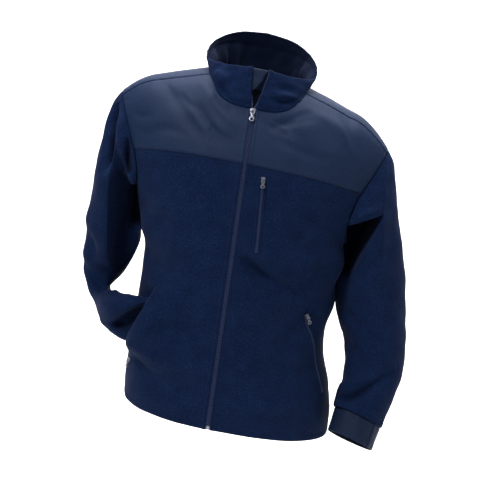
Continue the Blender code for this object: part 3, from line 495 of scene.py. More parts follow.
@dataclass
class JacketForm:
    """The form by its driving sizes: superellipse sections below the armpits, rolled shoulders above."""

    neck_front_z: float = -0.056
    length: float = 0.627
    armpit_z: float = -0.295
    yoke_z: float = -0.158
    yoke_drop: float = 0.022
    back_yoke_z: float = -0.150
    left_drop: float = 0.055
    power: float = 2.4
    chest_half: dict[int, float] = field(default_factory=lambda: {1: 0.208, -1: 0.202})
    neck_half: float = 0.098
    slope: float = 0.325
    rounding: float = 6.3
    rounding_from: float = 0.200
    seam_roll: float = 1.27
    front_neck_roll: float = 0.889
    front_neck_square: float = 1.5
    back_neck_roll: float = 1.06
    share_front: float = 0.215
    share_back: float = 0.240
    pocket_share: float = 0.509375
    pocket_ends: tuple[float, float] = (-0.590, -0.428)
    mid_rows: int = 34
    yoke_rows: int = 34
    back_rows: int = 64

    def __post_init__(self) -> None:
        """Works out the tables and the grid's places that follow from the sizes."""
        self.bend = 2 / self.power
        hem = self.neck_front_z - self.length
        self.torso = table(
            "z left right front back",
            (hem, 0.241, 0.184, 0.158, 0.146),
            (-0.641, 0.240, 0.187, 0.163, 0.148),
            (-0.590, 0.230, 0.186, 0.164, 0.148),
            (-0.521, 0.209, 0.183, 0.160, 0.142),
            (-0.450, 0.203, 0.180, 0.155, 0.135),
            (-0.380, 0.207, 0.181, 0.154, 0.134),
            (-0.335, 0.2085, 0.192, 0.155, 0.137),
            (self.armpit_z, self.chest_half[1], self.chest_half[-1], 0.156, 0.140),
        )
        self.armhole = table(
            "height left right share",
            (0.00, 0.000, 0.000, 1.000),
            (0.10, 0.001, 0.001, 0.965),
            (0.30, 0.006, 0.005, 0.907),
            (0.50, 0.017, 0.015, 0.890),
            (0.75, 0.041, 0.038, 0.910),
            (1.00, 0.066, 0.062, 0.930),
        )
        self.pocket_line = table(
            "z share",
            (hem, 0.730),
            (-0.590, 0.724),
            (-0.549, 0.712),
            (-0.508, 0.676),
            (-0.467, 0.615),
            (-0.428, 0.532),
            (-0.395, 0.505),
            (self.armpit_z, 0.519),
        )
        near_hem = hem + np.array([0, 1.2, 2.4, 4, 6, 8, 9.6, 11, 12, 13, 14, 15, 16.5, 18.5, 21, 24]) / 1000
        self.heights = np.concatenate([near_hem, np.linspace(hem + 0.0275, self.armpit_z, 94)])
        # Places along the neck: close together beside the zip, then even
        near_zip = np.array([0, 0.007, 0.012, 0.017, 0.022, 0.028, 0.035, 0.043, 0.052, 0.063, 0.076, 0.091,
                             0.110, 0.135, 0.165])
        self.turn = np.concatenate([near_zip, np.linspace(0.20, math.pi / 2, 24)])
        self.neck_cols = len(self.turn) - 1
        self.pocket_col = self.neck_cols + 20
        self.cols = self.pocket_col + 38

    def dropped(self, x: Array, y: Array, z: Array) -> Array:
        """Points with the left side let down in proportion to x."""
        return np.stack([x, y, z - self.left_drop * x], -1)

    def lower(self, side: int, face: float, share: Array, z: Array) -> Array:
        """The body below the armpits: x = a sin(u)^(2/n) and y = b cos(u)^(2/n), with a and b by height.

        Args:
            side: 1 for the left, -1 for the right.
            face: -1 for the front, 1 for the back.
            share: share of the way from the centre line to the side seam.
            z: height before the drop.

        Returns:
            Points.
        """
        half = read(self.torso, z, "left" if side > 0 else "right")
        deep = read(self.torso, z, "front" if face < 0 else "back")
        angle = share * math.pi / 2
        x = side * half * np.sin(angle) ** self.bend
        y = face * deep * np.maximum(np.cos(angle), 0) ** self.bend
        return self.dropped(x, y, z)

    def section_end(self, side: int, height: Array) -> Pair:
        """Half width of a section above the armpits, and the angle at which the armhole cuts it.

        Args:
            side: 1 for the left, -1 for the right.
            height: share of the way from the armpits to the ridge.

        Returns:
            Half widths and angles.
        """
        cut = read(self.armhole, height, "share")
        wider = read(self.armhole, height, "left" if side > 0 else "right")
        return (self.chest_half[side] + wider) / cut, np.arcsin(np.minimum(cut, 1) ** (self.power / 2))

    def top_z(self, side: int, share: Array) -> Array:
        """Height of the shoulder's ridge: a straight slope from the neck that rounds off near the sleeve.

        Args:
            side: 1 for the left, -1 for the right.
            share: share of the way from the centre line to the armhole.

        Returns:
            Heights before the drop.
        """
        half, end = self.section_end(side, np.ones_like(share))
        x = half * np.sin(share * end) ** self.bend
        beyond = np.maximum(x - self.rounding_from, 0)
        return -self.slope * np.maximum(x - self.neck_half, 0) - self.rounding * beyond**2

    def upper(self, side: int, face: Array | float, share: Array, roll: Array) -> Array:
        """The body above the armpits: a superellipse section that shrinks in depth as the roll turns it over.

        Args:
            side: 1 for the left, -1 for the right.
            face: -1 for the front, 1 for the back.
            share: share of the way from the centre line to the armhole.
            roll: 0 at the armpit's height to a right angle on the ridge.

        Returns:
            Points.
        """
        height = np.sin(roll) ** self.bend
        deep = np.where(face < 0, self.torso["front"][-1], self.torso["back"][-1])
        deep = deep * np.maximum(np.cos(roll), 0) ** self.bend
        half, end = self.section_end(side, height)
        x = side * half * np.sin(share * end) ** self.bend
        y = face * deep * np.cos(share * end) ** self.bend
        return self.dropped(x, y, self.armpit_z + (self.top_z(side, share) - self.armpit_z) * height)

    def roll_at(self, side: int, share: Array, z: Array) -> Array:
        """The roll at which the form reaches a height."""
        height = (z - self.armpit_z) / (self.top_z(side, share) - self.armpit_z)
        return np.arcsin(np.clip(height, 0, 1) ** (self.power / 2))

    def columns(self, neck_share: float) -> Pair:
        """Shares of the columns from the centre line to the side, and their angles on the neck's curve.

        Args:
            neck_share: the share at which the neck's curve ends.

        Returns:
            Shares and angles.
        """
        inner = neck_share + (self.pocket_share - neck_share) * steps(20, end=True)[1:]
        outer = self.pocket_share + (1 - self.pocket_share) * steps(38, start=True, end=True)[1:]
        rest = np.full(len(inner) + len(outer), math.pi / 2)
        shares = np.concatenate([neck_share * np.sin(self.turn), inner, outer])
        return shares, np.concatenate([self.turn, rest])

    def lower_rows(self, side: int, face: float, shares: Array) -> Array:
        """Rows from the hem to the armpits, their columns moved sideways so that one follows the pocket.

        Args:
            side: 1 for the left, -1 for the right.
            face: -1 for the front, 1 for the back.
            shares: the columns' shares.

        Returns:
            Rows of points.
        """
        z = self.heights[:, None] + 0 * shares[None, :]
        line = read(self.pocket_line, z, "share")
        inside = shares * line / self.pocket_share
        outside = 1 - (1 - shares) * (1 - line) / (1 - self.pocket_share)
        return self.lower(side, face, np.where(shares <= self.pocket_share, inside, outside), z)

    def middle_rows(self, side: int, face: float, shares: Array, seam: Array) -> Array:
        """Rows from the armpits to the yoke's seam, evenly spaced in height but for the last ones.

        Args:
            side: 1 for the left, -1 for the right.
            face: -1 for the front, 1 for the back.
            shares: the columns' shares.
            seam: the roll of the yoke's seam at each column.

        Returns:
            Rows of points.
        """
        top = np.sin(seam) ** self.bend
        height = steps(self.mid_rows, end=True)[1:, None] * top[None, :]
        return self.upper(side, face, shares[None, :] + 0 * height, np.arcsin(height ** (self.power / 2)))

    def front(self, side: int) -> Array:
        """One front from the hem to the shoulder seam, with the yoke's rows on top.

        Args:
            side: 1 for the left, -1 for the right.

        Returns:
            Rows by columns by three.
        """
        shares, turn = self.columns(self.share_front)
        seam = self.roll_at(side, shares, self.yoke_z - self.yoke_drop * shares**2)
        rise = (1 - np.cos(turn)) ** self.front_neck_square
        top = self.front_neck_roll + (self.seam_roll - self.front_neck_roll) * rise
        roll = seam + (top - seam) * steps(self.yoke_rows, True, True)[1:, None]
        points = np.concatenate([
            self.lower_rows(side, -1.0, shares), self.middle_rows(side, -1.0, shares, seam),
            self.upper(side, -1.0, shares[None, :] + 0 * roll, roll)])
        near = np.clip(1 - np.abs(points[..., 0]) / CF_MAKE_ROOM, 0, 1)
        points[..., 0] += side * CF_HALF_GAP * near
        return points

    def back_half(self, side: int) -> Array:
        """One half of the back from the hem over the shoulder's ridge to the shoulder seam in front.

        Args:
            side: 1 for the left, -1 for the right.

        Returns:
            Rows by columns by three.
        """
        shares, turn = self.columns(self.share_back)
        front_shares, _ = self.columns(self.share_front)
        seam = self.roll_at(side, shares, self.back_yoke_z - self.yoke_drop * shares**2)
        last = math.pi - self.seam_roll
        top = self.back_neck_roll + (last - self.back_neck_roll) * (1 - np.cos(turn))
        roll = seam + (top - seam) * steps(self.back_rows, True, True)[1:, None]
        over = ease((roll - self.back_neck_roll) / (last - self.back_neck_roll))
        share = shares + (front_shares - shares) * over
        face = np.where(roll > math.pi / 2, -1.0, 1.0)
        roll = np.where(roll > math.pi / 2, math.pi - roll, roll)
        return np.concatenate([self.lower_rows(side, 1.0, shares), self.middle_rows(side, 1.0, shares, seam),
                               self.upper(side, face, share, roll)])


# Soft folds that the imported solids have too: along a straight line, with their width and height
FOLDS = table(
    "x0 y0 z0 x1 y1 z1 width height",
    (190, -80, -640, 150, -120, -540, 30, 5),
    (205, -40, -400, 120, -135, -450, 28, -6),
    (-190, -50, -360, -110, -140, -420, 26, -5),
    (200, -60, -330, 150, -125, -270, 22, 4.5),
    (-200, -60, -330, -150, -125, -270, 22, 4.5),
    (200, 60, -340, 130, 115, -270, 26, 5),
    (-200, 60, -340, -130, 115, -270, 26, 5),
    (170, 90, -420, 40, 135, -450, 30, -6),
    (-160, 90, -430, -30, 135, -470, 30, -5),
    (345, -20, -440, 240, -40, -500, 22, -5),
    (350, -30, -560, 240, -90, -610, 18, 6),
    (300, -70, -300, 240, -80, -350, 22, -5),
    (-290, -30, -330, -215, -60, -390, 22, 6),
    (-300, 10, -420, -225, -40, -430, 18, -7),
    (-285, -10, -480, -225, -60, -460, 18, 6),
    per=1000,
)


def folds_at(points: Array) -> Array:
    """Height of the solids' folds at each point: exp(-(d / w)^2) round each fold's straight line.

    Args:
        points: where to read them.

    Returns:
        A height for each point.
    """
    height = np.zeros(points.shape[:-1])
    for x0, y0, z0, x1, y1, z1, width, rise in zip(*FOLDS.values()):
        start, line = np.array([x0, y0, z0]), np.array([x1 - x0, y1 - y0, z1 - z0])
        along = np.clip((points - start) @ line / (line @ line), 0, 1)
        away = np.linalg.norm(points - start - along[..., None] * line, axis=-1)
        height += rise * np.exp(-((away / width) ** 2))
    return height


BODY_CREASES = creases(
    # From the foot of the chest zip across to the waist on the left, with its ridge above
    (26, -154, -344, 85, -146, -379, 163, -104, -415, 16, -15, 1.3),
    (32, -155, -318, 102, -142, -333, 178, -95, -360, 20, 8),
    (22, -156, -385, 70, -148, -425, 135, -125, -455, 18, 7),
    (193, -61, -452, 151, -116, -468, 118, -140, -511, 18, -7.6),
    (20, -155, -326, 45, -152, -352, 85, -147, -368, 11, -12, 1.3),
    # From the armpits into the chest
    (198, -81, -279, 154, -127, -258, 125, -135, -296, 14, -6.6),
    (200, -62, -319, 160, -115, -322, 134, -129, -359, 14, 7.6),
    (-197, -54, -270, -165, -109, -286, -122, -134, -295, 16, -6.6),
    (-173, -52, -368, -138, -111, -376, -88, -142, -362, 20, -6.6),
    # Slack above the hem, and the pull of the sleeve in the right pocket
    (-164, -100, -603, -90, -150, -605, -20, -163, -580, 22, -7.6, 1.3),
    (-153, -159, -523, -97, -172, -491, -29, -158, -501, 18, -5.7),
    (55, -157, -518, 124, -143, -550, 186, -95, -543, 24, -6.6),
    (30, -160, -610, 100, -155, -628, 180, -115, -610, 22, 5.7),
    # Wrinkles of the right yoke, beside the collar and beside the armhole
    (-76, -96, -41, -57, -105, -53, -32, -113, -66, 6, -3.5, 1.6),
    (-109, -73, -24, -75, -100, -46, -45, -112, -58, 8, 3),
    (-184, -53, -34, -129, -106, -77, -73, -138, -142, 10, -3.2, 1.3),
    (-126, -84, -39, -86, -119, -85, -47, -139, -135, 8, -3.2),
    (-231, -65, -99, -211, -80, -102, -189, -91, -96, 5, -2.3),
    (-225, -74, -126, -205, -90, -130, -187, -100, -124, 5, -2.3),
    (-135, -112, -96, -83, -130, -114, -38, -136, -122, 10, -2.2),
    # Wrinkles of the left yoke
    (19, -116, -74, 46, -120, -85, 76, -122, -97, 6, -3.2, 1.4),
    (30, -123, -91, 72, -108, -67, 123, -80, -47, 8, -3),
    (32, -106, -57, 91, -117, -92, 120, -125, -135, 11, -2.4),
    (176, -30, -39, 192, -82, -91, 204, -94, -146, 12, -2.7),
    (88, -91, -47, 149, -82, -62, 184, -94, -110, 12, 2.4),
    # More of the yokes' wrinkles, which run from the collar and the shoulder to the armholes
    (-144, -82, -46, -122, -97, -61, -99, -112, -76, 6, -3.4, 1.4),
    (-122, -97, -57, -76, -125, -96, -31, -135, -117, 6, -2.8, 1.3),
    (-96, -90, -39, -58, -115, -70, -23, -126, -94, 6, 2.4),
    (-209, -88, -148, -162, -110, -116, -101, -130, -128, 7, -2.6, 1.2),
    (17, -108, -59, 63, -112, -72, 124, -87, -57, 6, -2.8, 1.3),
    (48, -125, -97, 99, -126, -119, 168, -108, -130, 8, -2.8, 1.2),
    (146, -60, -41, 181, -82, -83, 207, -87, -127, 7, 2.6),
    # Slack between the right pocket's mouth and the hem
    (-175, -110, -556, -150, -128, -585, -90, -152, -594, 10, -7.5, 1.4),
    (-166, -118, -540, -130, -140, -560, -80, -158, -566, 12, 5),
    # The back: pulls towards the bent sleeve, and slack at the waist
    (-190, 70, -300, -130, 115, -340, -40, 135, -360, 18, -8.5, 1.3),
    (-195, 60, -350, -120, 115, -395, -20, 130, -410, 20, 8.5),
    (195, 60, -360, 120, 115, -390, 20, 135, -385, 18, -7.6, 1.3),
    (185, 85, -460, 110, 125, -480, 0, 140, -500, 20, 8.5),
    (-170, 85, -500, -90, 125, -530, 10, 142, -540, 20, -7.6, 1.3),
    (-200, 75, -190, -150, 110, -235, -130, 125, -300, 16, -6.6),
    (205, 75, -200, 160, 110, -240, 140, 125, -300, 16, -6.6),
)

# Pulls of the body and of both sleeves
DRAGS = (
    # The left side seam's cloth bellies out below the armpit, towards the sleeve, which gives way
    Drag((0.207, -0.055, -0.345), (0.050, 0.070, 0.050), (0.014, 0.0, 0.0)),
    # The right sleeve is drawn in below its bend
    Drag((-0.290, 0.000, -0.508), (0.055, 0.100, 0.044), (0.024, 0.0, 0.0)),
    Drag((-0.290, 0.020, -0.415), (0.045, 0.080, 0.034), (-0.009, 0.0, 0.0)),
)
# Lower down it leans on the sleeve, which stays
BODY_DRAGS = (
    Drag((0.202, -0.030, -0.428), (0.040, 0.080, 0.034), (0.013, 0.0, 0.0)),
)


def dragged(points: Array, drags: tuple[Drag, ...]) -> Array:
    """The points after every pull in turn.

    Args:
        points: any points.
        drags: the pulls.

    Returns:
        The moved points.
    """
    for drag in drags:
        points = drag.moved(points)
    return points


@dataclass
class BodyCloth:
    """The points and normals of both fronts and the back, creased, with every seam's points shared."""

    form: JacketForm

    def __post_init__(self) -> None:
        """Builds the grids, then moves their points by the folds and the creases."""
        self.front = {side: self.form.front(side) for side in (1, -1)}
        left, right = self.form.back_half(1), self.form.back_half(-1)
        self.back = np.concatenate([right[:, :0:-1], left], 1)
        self.find_normals()
        cloud = np.concatenate([g.reshape(-1, 3) for g in (self.front[1], self.front[-1], self.back)])
        for side in (1, -1):
            self.front[side] = self.creased(cloud, self.front[side], self.normal[side])
        self.back = self.creased(cloud, self.back, self.back_normal)
        self.find_normals()

    @staticmethod
    def creased(cloud: Array, points: Array, normals: Array) -> Array:
        """A grid's points moved along their normals by the folds, the creases and the cloth's unevenness.

        Args:
            cloud: every point of the body's cloth.
            points: the grid.
            normals: its normals.

        Returns:
            The moved grid.
        """
        height = folds_at(points) + rumpled(points, 0.0012, 0.15, 0.4)
        height += sum(crease.height_at(cloud, points, normals) for crease in BODY_CREASES)
        return dragged(points + height[..., None] * normals, DRAGS + BODY_DRAGS)

    def find_normals(self) -> None:
        """Normals of all three grids, made one along the side and shoulder seams."""
        self.normal = {side: grid_normals(self.front[side], side) for side in (1, -1)}
        self.back_normal = grid_normals(self.back, -1.0)
        armpit, cols, neck = len(self.form.heights), self.form.cols, self.form.neck_cols
        for side in (1, -1):
            edge = -1 if side > 0 else 0
            share_normals(self.normal[side][:armpit, -1], self.back_normal[:armpit, edge])
            seam = np.s_[cols + neck:] if side > 0 else np.s_[cols - neck::-1]
            share_normals(self.normal[side][-1, neck:], self.back_normal[-1, seam])

    def armhole(self, side: int) -> Pair:
        """Points and normals round an armhole: armpit, up the front, over the shoulder, down the back.

        Args:
            side: 1 for the left, -1 for the right.

        Returns:
            Points and normals.
        """
        first = len(self.form.heights) - 1
        edge = -1 if side > 0 else 0
        return (np.concatenate([self.front[side][first:, -1], self.back[first + 1:-1, edge][::-1]]),
                np.concatenate([self.normal[side][first:, -1], self.back_normal[first + 1:-1, edge][::-1]]))

    def neckline(self) -> Pair:
        """Points round the neck from the left front edge over the back to the right one, and their turns.

        Returns:
            Points and turns.
        """
        cols, neck, turn = self.form.cols, self.form.neck_cols, self.form.turn
        back = self.back[-1, cols - neck: cols + neck + 1]
        points = [self.front[1][-1, : neck + 1], back[::-1][1:-1], self.front[-1][-1, : neck + 1][::-1]]
        turns = [turn, (math.pi - turn[::-1])[1:], (math.pi + turn)[1:], (2 * math.pi - turn[::-1])[1:]]
        return np.concatenate(points), np.concatenate(turns)


def share_normals(first: Array, second: Array) -> None:
    """Gives two edges that meet at a seam one normal between them.

    Args:
        first: the first edge's normals, changed in place.
        second: the second's.
    """
    both = unit(first + second)
    first[:] = both
    second[:] = both


# ---------------------------------------------------------------- finishes


SHADOW = "#04091a"


def linear(hex_colour: str) -> tuple[float, float, float, float]:
    """An sRGB hex colour as linear light: c / 12.92 below 0.04045, else ((c + 0.055) / 1.055)^2.4."""
    parts = [int(hex_colour[i: i + 2], 16) / 255 for i in (1, 3, 5)]
    return (*(c / 12.92 if c <= 0.04045 else ((c + 0.055) / 1.055) ** 2.4 for c in parts), 1.0)


def add_node(tree: NodeTree, kind: str, settings: dict | None = None, **links: object) -> Node:
    """One shader node.

    Args:
        tree: the node tree.
        kind: the node's type, without "ShaderNode".
        settings: properties by name, socket values by the socket's name or number, and a ramp's stops,
            each a place from 0 to 1 and an sRGB hex colour.
        links: for a socket whose name is the key, with _ for a space, or in_N for number N: the output.

    Returns:
        The node.
    """
    made = tree.nodes.new("ShaderNode" + kind)
    for key, value in (settings or {}).items():
        if isinstance(key, int) or key in made.inputs:
            made.inputs[key].default_value = value
        elif key == "stops":
            elements = made.color_ramp.elements
            while len(elements) < len(value):
                elements.new(0.5)
            for element, (place, colour) in zip(elements, value):
                element.position = place
                element.color = linear(colour)
        else:
            setattr(made, key, value)
    for key, output in links.items():
        socket = int(key[3:]) if key.startswith("in_") else key.replace("_", " ")
        tree.links.new(output, made.inputs[socket])
    return made


def new_material(name: str, colour: str, values: dict[str, object]) -> tuple[Material, Node]:
    """A material whose shader's own sockets hold the values that are the same all over.

    Args:
        name: the real material's name.
        colour: its mean colour, for the flat preview.
        values: socket values of the Principled shader.

    Returns:
        The material and its shader.
    """
    made = bpy.data.materials.new(name)
    made.use_nodes = True
    made.diffuse_color = linear(colour)
    shader = made.node_tree.nodes["Principled BSDF"]
    shader.inputs["Base Color"].default_value = linear(colour)
    for key, value in values.items():
        shader.inputs[key].default_value = value
    return made, shader


def cloth_tone(tree: NodeTree, tone: NodeSocket, dark: str, reach: float, press: float,
               inner: float) -> NodeSocket:
    """The tone of cloth: darker where it is pressed at its edges, with painted shade on its inner face and in
    deep folds.

    Args:
        tree: the node tree.
        tone: the cloth's own tone.
        dark: its darkest colour, for the edges.
        reach: how far from an edge it is pressed.
        press: the share of dark at the very edge.
        inner: the share of painted shade on the inner face.

    Returns:
        The darkened tone.
    """
    edge, inside = (add_node(tree, "Attribute", {"attribute_name": name}).outputs["Fac"]
                    for name in ("edge", "inner"))
    near = add_node(tree, "MapRange", {"From Max": reach, "To Min": press, "To Max": 0.0}, Value=edge)
    deep = add_node(tree, "Math", {"operation": "MULTIPLY", "use_clamp": True, 1: inner}, in_0=inside)
    # Painted shade: the inner face and deep folds are mixed towards the shadow colour
    for share, colour in ((near, dark), (deep, SHADOW)):
        tone = add_node(tree, "Mix", {"data_type": "RGBA", 7: linear(colour)}, in_0=share.outputs[0],
                        in_6=tone).outputs[2]
    return tone


def surface(tree: NodeTree, tone: NodeSocket, height: NodeSocket, strength: float,
            depth: float) -> None:
    """Gives the tree's shader its colour and a bump from a height.

    Args:
        tree: the node tree.
        tone: the colour's output.
        height: the height's output.
        strength: the bump's strength.
        depth: the bump's distance.
    """
    shader = tree.nodes["Principled BSDF"]
    bump = add_node(tree, "Bump", {"Strength": strength, "Distance": depth}, Height=height)
    tree.links.new(tone, shader.inputs["Base Color"])
    tree.links.new(bump.outputs["Normal"], shader.inputs["Normal"])


@dataclass(frozen=True)
class Fleece:
    """Knitted polyester fleece, brushed and sheared on both faces.

    The eye sees a matt, slightly mottled nap of short curled fibres, darker between its tufts and paler
    where it is seen edge on.
    """

    name: str = "polyester_fleece_knitted_brushed"
    dark: str = "#09162f"
    middle: str = "#0d1f3f"
    light: str = "#16294d"
    tuft: float = 0.0022
    fibre: float = 0.0010
    patch: float = 0.030
    depth: float = 0.0012

    def material(self) -> Material:
        """Noise at three sizes for tone, at two for the nap's height. Fibres are drawn coarser than real.

        Returns:
            The material.
        """
        made, _ = new_material(self.name, self.middle, {
            "Roughness": 0.95, "Sheen Weight": 0.05, "Sheen Roughness": 0.5,
            "Sheen Tint": linear("#8d9bd0"), "Specular IOR Level": 0.08})
        tree = made.node_tree
        place = add_node(tree, "TexCoord").outputs["Object"]
        sizes = ((self.tuft, 3.0, 0.6), (self.fibre, 2.0, 0.7), (self.patch, 2.0, 0.5))
        tufts, fibres, patches = (
            add_node(tree, "TexNoise", {"Scale": 1 / size, "Detail": detail, "Roughness": rough},
                     Vector=place).outputs["Fac"]
            for size, detail, rough in sizes)
        fine = add_node(tree, "Math", {"operation": "MULTIPLY", 1: 0.4}, in_0=fibres)
        nap = add_node(tree, "Math", {"operation": "MULTIPLY_ADD", 1: 0.6}, in_0=tufts, in_2=fine.outputs[0])
        tone = add_node(tree, "ValToRGB", {
            "stops": ((0.41, self.dark), (0.50, self.middle), (0.60, self.light))}, Fac=nap.outputs[0])
        broad = add_node(tree, "ValToRGB", {"stops": ((0.33, "#c6cbdc"), (0.66, "#ffffff"))}, Fac=patches)
        tone = add_node(tree, "Mix", {"data_type": "RGBA", "blend_type": "MULTIPLY", 0: 0.6},
                        in_6=tone.outputs["Color"], in_7=broad.outputs["Color"])
        # Painted shade on the inner face and in deep folds, by the inner share
        tone = cloth_tone(tree, tone.outputs[2], self.dark, reach=0.0035, press=0.55, inner=0.68)
        surface(tree, tone, nap.outputs[0], 0.75, self.depth)
        return made


@dataclass(frozen=True)
class Nylon:
    """Woven nylon taslan: a plain weave of textured filament, with slubs along it.

    The eye sees a smoother, greyer and paler cloth than the fleece, with a dull sheen and a fine grain.
    """

    name: str = "nylon_taslan_woven"
    dark: str = "#10213f"
    middle: str = "#122543"
    light: str = "#162a49"
    thread: float = 0.0011
    slub: float = 0.0045
    depth: float = 0.00022

    def material(self) -> Material:
        """Two crossed bands along the cloth's own map for the threads, drawn at twice their real 0.55 mm.

        Returns:
            The material.
        """
        made, _ = new_material(self.name, self.middle, {
            "Roughness": 0.62, "Sheen Weight": 0.02, "Sheen Roughness": 0.4,
            "Sheen Tint": linear("#a9b4dc"), "Specular IOR Level": 0.18})
        tree = made.node_tree
        cloth = add_node(tree, "UVMap", {"uv_map": "cloth"}).outputs["UV"]
        place = add_node(tree, "TexCoord").outputs["Object"]
        # A wave texture's bands are 1 / (20 x scale) of a unit wide over a full turn of 2 pi
        bands = {"Scale": 2 * math.pi / (20 * self.thread), "Distortion": 0.6, "Detail": 1.0,
                 "Detail Scale": 2.0}
        warp, weft = (
            add_node(tree, "TexWave", {"bands_direction": way, **bands}, Vector=cloth).outputs["Fac"]
            for way in "XY")
        weave = add_node(tree, "Math", {"operation": "MAXIMUM"}, in_0=warp, in_1=weft)
        slub = add_node(tree, "TexNoise", {"Scale": 1 / self.slub, "Detail": 4.0, "Roughness": 0.65},
                        Vector=place)
        height = add_node(tree, "Math", {"operation": "MULTIPLY_ADD", 1: 0.5}, in_0=weave.outputs[0],
                          in_2=slub.outputs["Fac"])
        tone = add_node(tree, "ValToRGB", {
            "stops": ((0.30, self.dark), (0.50, self.middle), (0.72, self.light))}, Fac=slub.outputs["Fac"])
        # Painted shade on the inner face and in deep folds, by the inner share
        tone = cloth_tone(tree, tone.outputs["Color"], self.dark, reach=0.003, press=0.6, inner=0.55)
        surface(tree, tone, height.outputs[0], 0.6, self.depth)
        return made


@dataclass(frozen=True)
class Plain:
    """A small part's finish: one colour broken by a fine grain, with its own gloss.

    The eye sees tape and thread as dull fibre, moulded teeth as satin plastic, and cast zinc as a bright
    metal with softly uneven reflections.
    """

    name: str
    dark: str
    light: str
    grain: float
    roughness: float
    metallic: float = 0.0
    sheen: float = 0.0
    bump: float = 0.0001
    specular: float = 0.5

    def material(self) -> Material:
        """Noise of the grain's size drives the colour and a light bump.

        Returns:
            The material.
        """
        made, shader = new_material(self.name, self.light, {
            "Roughness": self.roughness, "Metallic": self.metallic, "Sheen Weight": self.sheen,
            "Specular IOR Level": self.specular})
        tree = made.node_tree
        place = add_node(tree, "TexCoord").outputs["Object"]
        grain = add_node(tree, "TexNoise", {"Scale": 1 / self.grain, "Detail": 3.0}, Vector=place)
        tone = add_node(tree, "ValToRGB", {"stops": ((0.35, self.dark), (0.65, self.light))},
                        Fac=grain.outputs["Fac"]).outputs["Color"]
        span = {"To Min": self.roughness * 0.8, "To Max": min(1, self.roughness * 1.2)}
        rough = add_node(tree, "MapRange", span, Value=grain.outputs["Fac"])
        tree.links.new(rough.outputs[0], shader.inputs["Roughness"])
        surface(tree, tone, grain.outputs["Fac"], 0.5, self.bump)
        return made


@dataclass
class Finishes:
    """Every finish of the jacket, made once."""

    def __post_init__(self) -> None:
        """Makes the materials."""
        self.fleece = Fleece().material()
        self.nylon = Nylon().material()
        # Painted shade: a darker copy of the nylon, for the cuffs and the chin guard
        self.shaded_nylon = Nylon("nylon_taslan_woven_shaded", "#0d1a34", "#0f1e38", "#12233e").material()
        self.tape = Plain("polyester_zip_tape_woven", "#0d1833", "#152345", 0.0008, 0.85, sheen=0.02,
                          specular=0.15).material()
        self.teeth = Plain("acetal_zip_teeth_moulded", "#1b2a4c", "#2c3e66", 0.0020, 0.46,
                           specular=0.25).material()
        self.thread = Plain("polyester_sewing_thread_spun", "#111d40", "#1a2a52", 0.0006, 0.75, sheen=0.02,
                            specular=0.12).material()
        self.metal = Plain("zinc_alloy_die_cast_nickel_plated", "#6c6e7b", "#989aa7", 0.0035, 0.34, 1.0,
                           bump=0.00005).material()


# ---------------------------------------------------------------- cloth pieces

# Relief of the cloth beside an edge: distance from it and height, in millimetres
Relief = tuple[tuple[float, float], ...]
SEAM: Relief = ((0, -1.5), (0.8, -0.9), (1.6, -0.2), (2.3, 0.05), (2.9, -0.3), (3.6, 0.15), (6, 0.2), (11, 0))
PLAIN: Relief = ((0, -1.5), (1.2, -0.8), (2.6, -0.1), (5, 0.15), (9, 0))
FRONT_EDGE: Relief = ((0, -0.3), (0.6, 0.5), (1.3, 0.75), (2.0, 0.3), (2.8, 0.85), (5, 0.95), (6.8, 0.7),
                      (7.8, -0.1), (8.8, 0.25), (12, 0.1), (18, 0))
HEM: Relief = ((0, 0.2), (1, 0.6), (4, 0.8), (10.5, 0.75), (12.6, 0.1), (13.2, -0.25), (14.2, 0.1),
               (16, 0.25), (22, 0))
BAND: Relief = ((0, 0.2), (1, 0.5), (8.4, 0.6), (9.6, -0.25), (10.8, 0.3), (16, 0))


# Gathers along a seam: their length and how far they reach from it. No edge sinks below the least height
GATHER_LENGTH, GATHER_REACH, LEAST_HEIGHT = 0.017, 0.007, -0.0017


